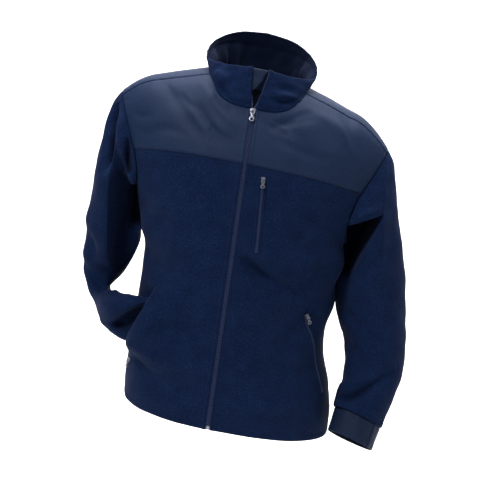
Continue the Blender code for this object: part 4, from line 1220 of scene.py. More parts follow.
@dataclass
class ClothPiece:
    """One cut piece of cloth: a grid of outer points with a wall, relief at its edges and a finish."""

    name: str
    nodes: tuple[str, ...]
    points: Array
    normals: Array
    offsets: Array
    finish: Material
    slot: str
    flip: bool
    edges: dict[Edge, Relief]
    wrap: bool = False
    pucker: float = 0.00045
    quads: Array | None = None
    extra: Triple | None = None
    # Painted shade in deep folds: a share for each point
    painted_shade: Array | None = None
    # How strongly the inner face takes its painted shade
    inside: float = 1.0

    def __post_init__(self) -> None:
        """Works the seams' relief into the points."""
        self.away = {edge: edge.back(running(edge.turned(self.points))) for edge in self.edges}
        self.near = np.full(self.points.shape[:2], 1.0)
        height = np.zeros(self.points.shape[:2])
        for edge, profile in self.edges.items():
            away = self.away[edge]
            along = edge.back(running(edge.turned(self.points).swapaxes(0, 1)).swapaxes(0, 1))
            distance, rise = np.array(profile).T / 1000
            height += np.interp(away, distance, rise)
            wave = np.sin(along * 2 * math.pi / GATHER_LENGTH + 2.2 * np.sin(along * 41))
            height += self.pucker * wave * np.exp(-away / GATHER_REACH) * ease(away / 0.0025)
            self.near = np.minimum(self.near, away)
        self.worked = self.points + np.maximum(height, LEAST_HEIGHT)[..., None] * self.normals

    def line(self, edge: Edge, away: float) -> Pair:
        """Points and normals along a line a fixed distance from an edge, for a row of stitches.

        Args:
            edge: one of the piece's edges.
            away: the distance from it.

        Returns:
            Points and normals.
        """
        points, normals, run = (edge.turned(g) for g in (self.worked, self.normals, self.away[edge]))
        row = np.clip((run < away).sum(0), 1, len(run) - 1)
        col = np.arange(run.shape[1])
        low, high = run[row - 1, col], run[row, col]
        t = np.clip((away - low) / np.maximum(high - low, 1e-9), 0, 1)[:, None]
        return (points[row - 1, col] * (1 - t) + points[row, col] * t,
                unit(normals[row - 1, col] * (1 - t) + normals[row, col] * t))

    def build(self) -> None:
        """Makes the piece's mesh, gives it its finish and tells the frame what it is."""
        rows, cols = self.points.shape[:2]
        quads = grid_quads(rows, cols, self.flip, self.wrap) if self.quads is None else self.quads
        across = running(self.worked.swapaxes(0, 1)).T
        uv = np.stack([across, running(self.worked)], -1).reshape(-1, 2)
        points, offsets, near = self.worked.reshape(-1, 3), self.offsets.reshape(-1, 3), self.near.ravel()
        if self.extra is not None:
            more, more_offsets, source = self.extra
            points, offsets = np.concatenate([points, more]), np.concatenate([offsets, more_offsets])
            uv, near = np.concatenate([uv, uv[source]]), np.concatenate([near, near[source]])
        every, faces, origin = shell(points, offsets, quads)
        obj = add_mesh(self.name, every, [faces], self.finish)
        add_uv(obj, uv[origin])
        add_values(obj, "edge", near[origin])
        # Painted shade, read by the material: the inner face, and points deep in folds
        add_values(obj, "inner", np.maximum((np.arange(len(every)) // len(points) == 1) * self.inside,
                                           0 if self.painted_shade is None else self.painted_shade.ravel()[origin]))
        settle(obj, self.slot, *self.nodes)
        a, b, c, d = (points[quads[:, i]] for i in range(4))
        area = float(np.linalg.norm(np.cross(c - a, d - b), axis=-1).sum() / 2)
        last = across[:, -1] + self.wrap * np.linalg.norm(self.worked[:, 0] - self.worked[:, -1], axis=-1)
        width, length = (max(float(np.max(side)), LEAST_CUT) for side in (last, running(self.worked)[-1]))
        area = min(max(area, LEAST_FILL * width * length), width * length)
        LOG.info("%s: cut %.0f x %.0f mm, %.4f m2", self.name, width * 1000, length * 1000, area)


def flap(name: str, nodes: tuple[str, ...], points: Array, toward: Array, wall: float,
         finish: Material, slot: str, edges: dict[Edge, Relief] | None = None, pucker: float = 0.0) -> None:
    """Builds a thin strip of cloth whose outer face looks the way of the normals given for its rows.

    Args:
        name: the piece's name.
        nodes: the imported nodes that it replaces.
        points: its grid.
        toward: one normal for each row.
        wall: its thickness.
        finish: its material.
        slot: its material slot.
        edges: relief at its edges.
        pucker: height of its seams' gathers.
    """
    facing = grid_normals(points)
    sign = np.sign((facing * toward[:, None]).sum())
    ClothPiece(name, nodes, points, facing * sign, -facing * sign * wall, finish, slot, bool(sign < 0),
               edges or {}, pucker=pucker).build()


def inset(points: Array, edges: tuple[Edge, ...]) -> Array:
    """A grid whose named edges are drawn in by half a seam's gap.

    Args:
        points: the grid.
        edges: the edges that meet another piece.

    Returns:
        The smaller grid.
    """
    moved = points.copy()
    for edge in edges:
        turned, source = edge.turned(moved), edge.turned(points)
        turned[0] += unit(source[2] - source[0]) * SEAM_GAP / 2
    return moved


def seam_offsets(body: Array, sleeve: Array, into_sleeve: Array) -> Pair:
    """Inward offsets of the body's and the sleeve's walls round an armhole.

    On a ridge both walls share a mitre. In a valley each keeps its own normal.

    Args:
        body: the body's normals there.
        sleeve: the sleeve's normals there.
        into_sleeve: the way that the sleeve leaves.

    Returns:
        The body's offsets and the sleeve's.
    """
    middle = unit(body + sleeve)
    lean = np.maximum(np.sum(middle * body, -1, keepdims=True), LEAST_LEAN)
    ridge = np.sum(into_sleeve * body, -1, keepdims=True) < 0
    return tuple(np.where(ridge, -middle * FLEECE_WALL / lean, -own * FLEECE_WALL) for own in (body, sleeve))


@dataclass
class Sleeve:
    """One sleeve with its cuff: rings from the armhole's own points to ellipses at the stations."""

    side: int
    rows: Table
    creases: list[Crease]
    hollows: tuple[Hollow, ...]
    body: BodyCloth
    finishes: Finishes
    fade_stations: float = 3.5
    cuff_length: float = 0.048
    cuff_step: float = 0.955
    cuff_taper: float = 0.045
    drags: tuple[Drag, ...] = ()
    overrun: float = 0.0

    def __post_init__(self) -> None:
        """Works out the rings, their creases and the walls at the armhole."""
        count = len(self.rows["ix"])
        near = np.array([0, 0.03, 0.07, 0.12, 0.18, 0.25, 0.33, 0.42])
        self.at = np.concatenate([near, np.linspace(0.52, count - 1, 140)])
        self.mirror = np.array([self.side, 1.0, 1.0])
        self.frame = self.frames(self.at)
        loop, loop_normals = self.body.armhole(self.side)
        centre, across, forward = self.frame
        rest = loop * self.mirror - centre[0]
        self.angles = np.arctan2(rest @ forward[0] / (forward[0] @ forward[0]),
                                 -(rest @ across[0]) / (across[0] @ across[0]))
        rings = self.rings(self.frame)
        fade = (1 - ease(self.at / self.fade_stations))[:, None, None]
        points = (rings + (loop * self.mirror - rings[0]) * fade) * self.mirror
        worn = self.creased(points)
        # The fleece runs on past the last station, where a pocket hides its seam with the cuff
        self.onward = unit(centre[-1] - centre[-3]) * self.mirror
        if self.overrun:
            self.painted_shade = np.pad(self.painted_shade, ((0, 8), (0, 0)))
            beyond = self.onward * (self.overrun * steps(8, end=True)[1:, None, None])
            worn = np.concatenate([worn, worn[-1] + beyond])
        self.points = worn
        self.normals = grid_normals(self.points, -self.side, wrap=True)
        self.seam, own = seam_offsets(loop_normals, self.normals[0], self.points[2] - self.points[0])
        self.offsets = -self.normals * FLEECE_WALL
        self.offsets[0] = own

    def creased(self, points: Array) -> Array:
        """The sleeve with its folds, creases and drags, and its hollows pushed back from the front.

        Args:
            points: the smooth sleeve.

        Returns:
            The moved points. The share of painted shade on each one is kept on the sleeve.
        """
        normals = grid_normals(points, -self.side, wrap=True)
        cloud = points.reshape(-1, 3)
        heights = [crease.height_at(cloud, points, normals) for crease in self.creases]
        wrinkles = sum(heights) + rumpled(points, 0.0016, 0.11, 1.3 * self.side)
        height = folds_at(points) * ease(self.at / 3)[:, None] + wrinkles * ease(self.at / 0.45)[:, None]
        worn = dragged(points + height[..., None] * normals, DRAGS + self.drags)
        worn[0] = points[0]
        # Painted shade: the colour darkens along shaded creases and inside the hollows
        self.painted_shade = np.zeros(worn.shape[:2])
        for crease, tall in zip(self.creases, heights):
            self.painted_shade = np.maximum(self.painted_shade, crease.shade * ease((tall / crease.height - 0.15) / 0.7))
        for hollow in self.hollows:
            share = hollow.share(worn, normals) * ease(self.at / 0.30)[:, None]
            worn[..., 1] += share * np.clip(hollow.floor - worn[..., 1], 0, hollow.depth)
            self.painted_shade = np.maximum(self.painted_shade, hollow.shade * ease((share - 0.12) / 0.5))
        return worn

    def frames(self, at: Array) -> Triple:
        """Ring centres and half axes at places along the stations.

        Args:
            at: places along the stations.

        Returns:
            Centres, axes across and axes forward.
        """
        stations = np.arange(len(self.rows["ix"]), dtype=float)
        value = {name: smooth(at, stations, column) for name, column in self.rows.items()}
        inner, outer = (np.stack([value[edge + axis] for axis in "xyz"], -1) for edge in "io")
        centre, across = (inner + outer) / 2, (outer - inner) / 2
        forward = unit(np.cross(np.gradient(centre, at, axis=0), across))
        return centre, across, forward * value["depth"][:, None]

    def rings(self, frame: Triple) -> Array:
        """Ellipses: centre less the across axis by the cosine, plus the forward axis by the sine.

        Args:
            frame: centres and half axes.

        Returns:
            Rings by points by three.
        """
        centre, across, forward = (part[:, None] for part in frame)
        cosine, sine = np.cos(self.angles)[None, :, None], np.sin(self.angles)[None, :, None]
        return centre - across * cosine + forward * sine

    @property
    def label(self) -> str:
        """The sleeve's side in words."""
        return "left" if self.side > 0 else "right"

    def build(self) -> list[ClothPiece]:
        """The sleeve and its cuff.

        Returns:
            The two pieces, for their rows of stitches.
        """
        edges = {Edge.BOTTOM: PLAIN} if self.overrun else {Edge.BOTTOM: PLAIN, Edge.TOP: HEM}
        sleeve = ClothPiece(
            f"sleeve_{self.label}_fleece", (f"sleeve_{self.label}",), inset(self.points, (Edge.BOTTOM,)),
            self.normals, self.offsets, self.finishes.fleece, "fleece", self.side > 0, edges, wrap=True,
            painted_shade=self.painted_shade)
        sleeve.build()
        centre, across, forward = (part[-1:] for part in self.frame)
        onward = self.onward * self.mirror
        step = np.linspace(0, 1, 25)[:, None]
        length = self.cuff_length - self.overrun
        size = self.cuff_step - self.cuff_taper * step
        rings = self.rings((centre + onward * (self.overrun + 3 * SEAM_GAP + length * step), across * size,
                            forward * size))
        points = rings * self.mirror
        normals = grid_normals(points, -self.side, wrap=True)
        turn = np.degrees(self.angles) % 360
        height = self.cuff_relief(turn[None, :], step * length)
        points = points + height[..., None] * normals
        # The cuff is dressed in the darker copy of the nylon: painted shade
        cuff = ClothPiece(f"cuff_{self.label}_nylon", (f"cuff_{self.label}",), points, normals,
                          -normals * NYLON_WALL, self.finishes.shaded_nylon, "nylon", self.side > 0,
                          {Edge.BOTTOM: PLAIN, Edge.TOP: BAND}, wrap=True)
        cuff.build()
        return [sleeve, cuff]

    @staticmethod
    def cuff_relief(turn: Array, down: Array) -> Array:
        """The cuff's tab end, a step of half a wall along the sleeve, and shallow gathers round it.

        Args:
            turn: degrees round the cuff.
            down: distance from its seam.

        Returns:
            A height for each point.
        """
        tab = ease((turn - 128) / 3) * (1 - ease((turn - 300) / 6))
        gathers = np.sin(np.radians(turn) * 17 + 1.3 * np.sin(np.radians(turn) * 5))
        return 0.0014 * tab + 0.0006 * gathers * np.exp(-down / 0.020)


LEFT_SLEEVE = table(
    "ix iy iz ox oy oz depth",
    (208, 0, -306, 270, 0, -103, 82),
    (210.5, -1, -312, 285, 1, -128, 86),
    (211.8, -1, -320, 298, 2, -170, 88),
    (211.5, -2, -334, 311, 3, -219, 88),
    (210.5, -2, -357, 326, 5, -271, 86),
    (211, 0, -390, 342, 7, -326, 83),
    (217, 3, -430, 354.5, 8, -382, 79),
    (230, 1, -468, 364, 3, -436, 74),
    (245, -10, -505, 371.5, -10, -486, 69),
    (253.5, -25, -542, 373.5, -27, -533, 64),
    (253, -42, -575, 366, -45, -577, 60),
    (244, -57, -602, 354, -60, -620, 56),
    (243, -68, -625, 342, -72, -656, 52),
    per=1000,
)
RIGHT_SLEEVE = table(
    "ix iy iz ox oy oz depth",
    (202, 0, -284, 264, 0, -74, 82),
    (204.5, 0, -291, 280, 1, -100, 86),
    (206, 1, -300, 290, 3, -150, 88),
    (206, 2, -315, 295, 6, -205, 86),
    (204, 4, -338, 298, 11, -262, 81),
    (203, 7, -368, 300.5, 18, -318, 74),
    (209.5, 9, -398, 300, 27, -368, 63),
    (220, 8, -424, 297, 38, -414, 53),
    (232, 2, -446, 289, 44, -458, 46),
    (238, -12, -464, 273, 40, -508, 43),
    (231, -36, -470, 255, 12, -533, 42),
    (216, -66, -465, 238, -26, -540, 40),
    (198, -94, -456, 216, -66, -543, 34),
    (176, -113, -449, 192, -96, -544, 27),
    (150, -121, -447, 166, -110, -544, 21),
    per=1000,
)
LEFT_CREASES = creases(
    # The deep hollow at the armpit, the ridge that hangs over it and its run down the sleeve
    (218, -80, -246, 242, -83, -232, 276, -72, -214, 8, 6),
    (262, -30, -103, 279, -66, -200, 284, -79, -300, 3.5, 1.8),
    (286, -78, -262, 283, -79, -315, 268, -78, -372, 6, 2.6, 0.6),
    (211, 10, -320, 211, 2, -360, 214, 0, -420, 22, 5),
    # The sleeve's bend, its lower part and the slack above the cuff
    (221, -6, -430, 248, -53, -445, 265, -58, -477, 12, -6),
    (245, -60, -602, 275, -103, -590, 352, -75, -536, 11, -19, 0.7, 0.4),
    (240, -50, -585, 268, -95, -572, 330, -92, -535, 13, 9),
    (238, -4, -485, 262, -52, -512, 300, -85, -520, 14, -4.5),
    (275, -53, -161, 301, -63, -255, 326, -56, -355, 22, -4),
    (350, 10, -420, 330, 60, -450, 270, 75, -450, 16, -6, 1.3),
    (355, 20, -380, 320, 75, -390, 260, 80, -400, 16, 5),
    (230, 70, -290, 260, 88, -260, 290, 80, -210, 16, -8, 1.3),
    (345, 0, -600, 320, 20, -585, 270, 20, -575, 14, -5),
)
LEFT_HOLLOWS = (
    # Behind the fold that spans the armpit: deep at its upper edge, shallow towards the sleeve's outer side
    Hollow(((194, -268, -10), (282, -225, 12), (236, -372, 10), (192, -350, 4)), 0.110, 0.030, 1.2),
)
RIGHT_CREASES = creases(
    # The valley of the sleeve's head, between the outer cloth and a soft inner ridge
    (-276, -24, -88, -274, -50, -145, -266, -70, -225, 11.5, -31, 0.9, 1.2),
    (-262, -40, -100, -250, -66, -150, -236, -84, -235, 9, 6),
    # The knot of slack at the armpit with the shadow above it
    (-232, -83, -214, -221, -83, -226, -210, -76, -238, 8, 12),
    (-235, -76, -158, -229, -83, -190, -223, -84, -216, 7, -18, 0.8),
    (-205.5, 0, -285, -204.5, 0, -318, -203.5, 0, -352, 24, 10),
    # The sleeve's sharp bend and its lower part, which goes into the pocket
    (-290, -10, -430, -262, -28, -466, -224, -90, -474, 10, -8, 0.7),
    (-285, -30, -350, -281, -37, -384, -272, -30, -425, 14, -10),
    (-252, -60, -535, -205, -120, -500, -128, -115, -452, 15, -12),
    (-262, -30, -440, -230, -55, -470, -140, -120, -450, 10, 10),
    (-295, 1, -422, -266, -18, -451, -238, -24, -467, 12, -6),
    (-298, 30, -390, -270, 75, -400, -230, 80, -400, 14, -6, 1.3),
    (-295, 40, -350, -260, 85, -360, -220, 80, -350, 14, 5),
    (-225, 70, -270, -255, 88, -240, -280, 80, -190, 16, -8, 1.3),
)
RIGHT_DRAGS = (
    # The crook, where the upper part's inner edge runs down and outwards to the lower part
    Drag((-0.205, 0.020, -0.476), (0.034, 0.100, 0.024), (-0.034, 0.0, 0.0)),
    Drag((-0.205, 0.010, -0.385), (0.022, 0.110, 0.045), (0.007, 0.0, 0.0)),
)
RIGHT_HOLLOWS = (
    # The shadow above the knot of slack
    Hollow(((-243, -140, 16), (-231, -142, 6), (-215, -214, 8), (-231, -224, 7)), 0.004, 0.050, 1.3),
    # The inner side of the sleeve's long fold, which turns inwards from a sharp edge
    Hollow(((-269, -120, 30), (-225, -190, 22), (-200, -262, 4), (-192, -450, 14), (-226, -466, 12),
            (-247.5, -415, -50)), 0.060, 0.006, 0.55),
    # The lower part's fold, which dives behind the pocket's lip
    Hollow(((-250, -532, 26), (-182, -462, 20), (-140, -445, 4), (-150, -520, 30), (-195, -545, 30)),
           0.034, -0.080, 0.8),
    # The gap at the armpit
    Hollow(((-226, -236, -8), (-194, -238, 2), (-192, -345, 30), (-219, -345, 10)), 0.110, 0.030, 1.2),
)


@dataclass
class Body:
    """The fronts, the back and the yokes, with the open right pocket's lip."""

    cloth: BodyCloth
    seams: dict[int, Array]
    finishes: Finishes

    def __post_init__(self) -> None:
        """Holds the lip's table: its move sideways and forwards at each height."""
        hem = self.cloth.form.heights[0]
        self.lip = table(
            "z across forward",
            (hem, 0.000, 0.000),
            (-0.641, 0.000, 0.002),
            (-0.590, 0.002, 0.011),
            (-0.549, 0.015, 0.046),
            (-0.508, 0.009, 0.057),
            (-0.467, 0.001, 0.043),
            (-0.428, -0.001, 0.013),
            (-0.395, 0.000, 0.002),
            (-0.362, 0.000, 0.000),
        )
        self.pieces: dict[str, ClothPiece] = {}

    def lifted(self, points: Array) -> Pair:
        """The right front with the pocket's lip pushed out, and the mouth's outer edge, which stays back.

        Args:
            points: the panel's points.

        Returns:
            The lifted grid, and the points of the outer edge along the pocket's column.
        """
        form = self.cloth.form
        z = form.heights
        share = form.columns(form.share_front)[0]
        push = np.stack([-read(self.lip, z, "across"), -read(self.lip, z, "forward"), 0 * z], -1)
        inside, outside = (form.pocket_share - share) / 0.36, (share - form.pocket_share) / 0.29
        near = np.where(share <= form.pocket_share, ease(1 - inside), ease(1 - outside))
        bottom, top = form.pocket_ends
        outer = np.maximum(ease((bottom + 0.020 - z) / 0.020), ease((z - top + 0.020) / 0.020))
        outer = np.where((z <= bottom) | (z >= top), 1.0, outer)
        weight = np.where(np.arange(points.shape[1])[None, :] > form.pocket_col, outer[:, None], 1.0)
        raised = points.copy()
        raised[: len(z)] += push[:, None] * near[None, :, None] * weight[..., None]
        self.rows_in = np.flatnonzero((z > bottom) & (z < top))
        edge = points[self.rows_in, form.pocket_col] + push[self.rows_in] * outer[self.rows_in, None]
        return raised, edge

    def front(self, side: int) -> None:
        """A front below its yoke, and the yoke above.

        Args:
            side: 1 for the left, -1 for the right.
        """
        form, fin = self.cloth.form, self.finishes
        label = "left" if side > 0 else "right"
        points, normals, seam = self.cloth.front[side], self.cloth.normal[side], self.seams[side]
        first, split = len(form.heights) - 1, len(self.cloth.front[side]) - 1 - form.yoke_rows
        offsets = -normals * FLEECE_WALL
        offsets[first:, -1] = seam[: len(points) - first]
        yoke = np.s_[split:]
        edges = {Edge.BOTTOM: SEAM, Edge.TOP: PLAIN, Edge.LAST: SEAM, Edge.FIRST: FRONT_EDGE}
        self.pieces[f"yoke_front_{label}"] = ClothPiece(
            f"yoke_front_{label}_nylon", (f"yoke_front_{label}",),
            inset(points[yoke], (Edge.BOTTOM, Edge.TOP, Edge.LAST)), normals[yoke],
            offsets[yoke] * (NYLON_WALL / FLEECE_WALL), fin.nylon, "nylon", side < 0, edges)
        lower, below = points[: split + 1], offsets[: split + 1]
        edges = {Edge.BOTTOM: HEM, Edge.TOP: PLAIN, Edge.LAST: PLAIN, Edge.FIRST: FRONT_EDGE}
        grid, quads, extra = lower, None, None
        if side < 0:
            grid, edge = self.lifted(lower)
            cols = grid.shape[1]
            copies = np.arange(grid.shape[0] * cols)
            copies[self.rows_in * cols + form.pocket_col] = copies.size + np.arange(len(self.rows_in))
            quads = grid_quads(*grid.shape[:2], True)
            outside = (quads % cols).max(1) > form.pocket_col
            quads[outside] = copies[quads[outside]]
            turned = grid_normals(grid[:, : form.pocket_col + 1], side)
            normals = normals.copy()
            normals[: split + 1, : form.pocket_col + 1] = turned
            below = below.copy()
            below[:, : form.pocket_col + 1] = -turned * FLEECE_WALL
            source = self.rows_in * cols + form.pocket_col
            flat = self.cloth.normal[-1][self.rows_in, form.pocket_col]
            extra = (edge, -flat * FLEECE_WALL, source)
            lip, beside = (grid[self.rows_in, form.pocket_col - back] for back in (0, 2))
            self.mouth_edges = (lip, turned[self.rows_in, -1], unit(lip - beside), edge, flat)
        self.pieces[f"front_{label}"] = ClothPiece(
            f"front_{label}_fleece", (f"front_{label}",), inset(grid, (Edge.TOP, Edge.LAST)),
            normals[: split + 1], below, fin.fleece, "fleece", side < 0, edges, quads=quads, extra=extra)

    def back(self) -> None:
        """The back below its yoke, and the yoke over both shoulders."""
        form, fin = self.cloth.form, self.finishes
        points, normals = self.cloth.back, self.cloth.back_normal
        first, split = len(form.heights) - 1, len(points) - 1 - form.back_rows
        for name, wall, rows, shown, finish, slot, edges in (
            ("back", FLEECE_WALL, np.s_[: split + 1], "back_fleece", fin.fleece, "fleece",
             {Edge.BOTTOM: HEM, Edge.TOP: PLAIN, Edge.FIRST: PLAIN, Edge.LAST: PLAIN}),
            ("yoke_back", NYLON_WALL, np.s_[split:], "yoke_back_nylon", fin.nylon, "nylon",
             {Edge.BOTTOM: SEAM, Edge.TOP: SEAM, Edge.FIRST: SEAM, Edge.LAST: SEAM}),
        ):
            offsets = -normals * wall
            for side, edge in ((1, -1), (-1, 0)):
                seam = self.seams[side]
                down = np.concatenate([seam[:1], seam[:len(seam) - len(points) + first:-1]])
                offsets[first:, edge] = down * (wall / FLEECE_WALL)
            drawn = (Edge.FIRST, Edge.LAST, Edge.TOP if name == "back" else Edge.BOTTOM)
            self.pieces[name] = ClothPiece(shown, (name,), inset(points[rows], drawn), normals[rows],
                                           offsets[rows], finish, slot, True, edges)

    def build(self) -> dict[str, ClothPiece]:
        """Builds every panel of the body.

        Returns:
            The panels by name, for their rows of stitches.
        """
        self.front(1)
        self.front(-1)
        self.back()
        for piece in self.pieces.values():
            piece.build()
        return self.pieces


COLLAR_CREASES = creases(
    # Folds of the right side, from the shoulder down to the front edge
    (-73, -87, -16, -61, -96, -31, -46, -102, -40, 8, -9.5, 1.5),
    (-63, -97, -41, -42, -104, -51, -20, -106, -55, 7, -7, 1.4),
    (-84, -72, 4, -70, -85, -4, -52, -94, -12, 9, 4.5),
    # Folds of the left side
    (36, -97, -10, 59, -91, -12, 82, -78, -17, 9, -4.5),
    (24, -104, -33, 54, -98, -35, 84, -81, -30, 8, -9, 1.5),
    (20, -106, -53, 57, -100, -52, 97, -84, -40, 7, -4.5, 1.4),
    (26, -102, -22, 55, -96, -23, 80, -82, -22, 9, 4.5),
)


@dataclass
class Collar:
    """The stand collar, open in a V, with the nylon guard behind its right edge."""

    cloth: BodyCloth
    finishes: Finishes
    half_width: float = 0.110
    shift: float = 0.004
    front_y: float = -0.094
    back_y: float = 0.082
    bulge: float = 0.004
    open_left: float = 0.0230
    open_right: float = 0.0130
    guard_from: float = 0.46
    guard_reach: float = 0.031
    guard_tuck: float = 0.003
    guard_wall: float = 0.0014

    def __post_init__(self) -> None:
        """Works out the collar's grid from the neckline to the rim."""
        base, turn = self.cloth.neckline()
        base = base.copy()
        base[0, 0], base[-1, 0] = CF_HALF_GAP, -CF_HALF_GAP
        rim = self.rim(turn)
        t = steps(34, True, True)[:, None, None]
        out = unit(rim * [1, 1, 0] - [0, (self.front_y + self.back_y) / 2, 0])
        points = base + (rim - base) * t + out * self.bulge * 4 * t * (1 - t)
        points[0] -= unit(points[1] - points[0]) * 0.0012
        self.turn = turn
        normals = grid_normals(points)
        height = sum(self.fold(np.degrees(turn)[None, :], t[..., 0], *fold) for fold in (
            (40, 30, 0.10, 0.16, 0.0035), (62, 14, 0.35, 0.45, -0.0025), (300, 18, 0.30, 0.50, -0.0022),
            (322, 12, 0.55, 0.45, 0.0018), (20, 10, 0.50, 0.60, 0.0016), (110, 20, 0.5, 0.6, -0.0025),
            (250, 22, 0.5, 0.6, -0.0025)))
        height = height + sum(crease.height_at(points.reshape(-1, 3), points, normals)
                              for crease in COLLAR_CREASES)
        # The seam at the foot lies in a soft roll
        height = height + 0.0018 * np.exp(-(((t[..., 0] - 0.17) / 0.10) ** 2))
        height = (height + rumpled(points, 0.0014, 0.06, 2.0)) * ease(t[..., 0] / 0.22)
        self.points = points + height[..., None] * normals
        self.normals = grid_normals(self.points)

    def rim(self, turn: Array) -> Array:
        """The upper edge: an ellipse seen from above, which stops at the open V beside each front edge.

        Args:
            turn: angles round the neck from the left front edge.

        Returns:
            Points.
        """
        rim_table = table("turn z", (0, 0.021), (40, 0.015), (72, 0.016), (95, 0.034), (125, 0.060),
                          (155, 0.078), (180, 0.083))
        middle, reach = (self.front_y + self.back_y) / 2, (self.back_y - self.front_y) / 2
        rim_x = self.shift * (1 - np.cos(turn)) / 2 + self.half_width * np.sin(turn)
        near = np.radians(15)
        left, right = np.clip(turn / near, 0, 1), np.clip((2 * math.pi - turn) / near, 0, 1)
        stop_left = self.open_left + (self.half_width * math.sin(near) - self.open_left) * left
        stop_right = self.open_right + (self.half_width * math.sin(near) - self.open_right) * right
        rim_x = np.where(turn < near, stop_left, np.where(turn > 2 * math.pi - near, -stop_right, rim_x))
        degrees = np.degrees(np.minimum(turn, 2 * math.pi - turn))
        rim_z = read(rim_table, degrees, "z") - self.cloth.form.left_drop * rim_x
        return np.stack([rim_x, middle - reach * np.cos(turn), rim_z], -1)

    @staticmethod
    def fold(turn: Array, rise: Array, at: float, width: float, height_at: float, tall: float,
             height: float) -> Array:
        """A soft bulge or dent: exp(-(a^2 + b^2)) of the turn's and the rise's distances from its middle."""
        return height * np.exp(-(((turn - at) / width) ** 2) - ((rise - height_at) / tall) ** 2)

    def build(self) -> ClothPiece:
        """The collar and its guard.

        Returns:
            The collar's piece, for its rows of stitches.
        """
        turn, rise = np.degrees(self.turn)[None, :], steps(34, True, True)[:, None]
        # Inside, the cloth stands in soft upright bulges below a turned band
        inside = sum(self.fold(turn, rise, at, width, 0.35, 0.38, height) for at, width, height in (
            (120, 7, 0.0110), (138, 6, 0.0050), (163, 10, 0.0080), (189, 8, 0.0060), (211, 6, 0.0110),
            (230, 6, 0.0090), (98, 8, 0.0050), (258, 8, 0.0080)))
        below = np.clip((0.82 - rise) / 0.05, 0, 1)
        wall = COLLAR_WALL + np.maximum(inside, -0.0012) * ease((0.85 - rise) / 0.2) - 0.0020 * below
        edges = {Edge.BOTTOM: PLAIN, Edge.TOP: BAND, Edge.FIRST: BAND, Edge.LAST: BAND}
        # Its inner face takes more painted shade than other cloth's
        piece = ClothPiece("collar_fleece", ("collar",), self.points, self.normals,
                           -self.normals * wall[..., None], self.finishes.fleece, "fleece", False, edges,
                           inside=1.27)
        piece.build()
        self.guard()
        return piece

    def guard(self) -> None:
        """The chin guard: a thin nylon flap that widens from the neck to the rim."""
        rise = np.linspace(self.guard_from, 1, 22)
        row = np.interp(rise, steps(34, True, True), np.arange(35.0))
        edge, beside, other, normal = (
            np.stack([np.interp(row, np.arange(35.0), line[:, i]) for i in range(3)], -1)
            for line in (self.points[:, -1], self.points[:, -12], self.points[:, 0], self.normals[:, -1]))
        toward = unit(other - edge)
        start = edge + (beside - edge) * 0.6
        wider = ((rise[:, None] - self.guard_from) / (1 - self.guard_from)) ** 0.75
        reach = edge + toward * (self.guard_tuck + (self.guard_reach - self.guard_tuck) * wider)
        middle = edge + toward * self.guard_tuck
        points = np.stack([bezier(a, b, c, 14) for a, b, c in zip(start, middle, reach)])
        points -= normal[:, None] * (COLLAR_WALL + 0.0007)
        # The guard is dressed in the darker copy of the nylon: painted shade
        flap("collar_guard_nylon", ("collar_guard",), points, normal, self.guard_wall, self.finishes.shaded_nylon,
             "nylon", {Edge.TOP: BAND, Edge.LAST: BAND}, 0.0003)


# ---------------------------------------------------------------- stitches, teeth, sliders


def placed(points: Array, faces: list[Array], origins: Array, frames: Array) -> Shape:
    """Copies of a small shape: each is its origin plus the shape's points times its three axes.

    Args:
        points: the shape's points.
        faces: its faces.
        origins: one place for each copy.
        frames: its axes, as rows.

    Returns:
        All points and all faces.
    """
    every = (origins[:, None] + np.einsum("pk,nkj->npj", points, frames)).reshape(-1, 3)
    shift = (np.arange(len(origins)) * len(points))[:, None, None]
    return every, [(f[None] + shift).reshape(-1, f.shape[1]) for f in faces]


def squared(turn: Array, power: float) -> Pair:
    """A round that grows square as the power falls below 1: cosine and sine to that power, signs kept."""
    x, y = np.cos(turn), np.sin(turn)
    return np.sign(x) * np.abs(x) ** power, np.sign(y) * np.abs(y) ** power


def tube_shape(rings: Array) -> Shape:
    """A closed shape from rings of points: cells between the rings and a flat face at each end.

    Args:
        rings: rings by points by three.

    Returns:
        Points and faces.
    """
    count, n = rings.shape[:2]
    quads = grid_quads(count, n, False, wrap=True)
    caps = np.stack([np.arange(n)[::-1], (count - 1) * n + np.arange(n)])
    points = rings.reshape(-1, 3)
    return points, facing_out(points, [quads, caps])


def joined(parts: list[Shape]) -> Shape:
    """Several shapes as one: their points in a row, and their faces gathered by their number of corners.

    Args:
        parts: the shapes.

    Returns:
        Points and faces.
    """
    faces: dict[int, list[Array]] = {}
    count = 0
    for points, cells in parts:
        for cell in cells:
            faces.setdefault(cell.shape[1], []).append(cell + count)
        count += len(points)
    points = np.concatenate([points for points, _ in parts])
    return points, [np.concatenate(group) for group in faces.values()]


def chain_axes(normal: Array, along: Array) -> Triple:
    """Axes of a hard part on a chain: x across it, -y out of the cloth and z along it."""
    out = unit(normal - along * (normal @ along))
    return np.cross(-out, along), -out, along


def facing_out(points: Array, faces: list[Array]) -> list[Array]:
    """The faces, turned round if the volume that they enclose is negative.

    Args:
        points: the shape's points.
        faces: its faces.

    Returns:
        Faces that face out.
    """
    volume = sum(np.linalg.det(points[f[:, [0, i, i + 1]]]).sum()
                 for f in faces for i in range(1, f.shape[1] - 1))
    return faces if volume > 0 else [f[:, ::-1] for f in faces]


def frames_along(line: Array, normals: Array) -> Array:
    """Axes at each point of a line: along it, across it, and out of the cloth.

    Args:
        line: its points.
        normals: the cloth's normals there.

    Returns:
        Three axes for each point.
    """
    along = unit(np.gradient(line, axis=0))
    out = unit(normals - along * (normals * along).sum(-1, keepdims=True))
    return np.stack([along, np.cross(out, along), out], 1)


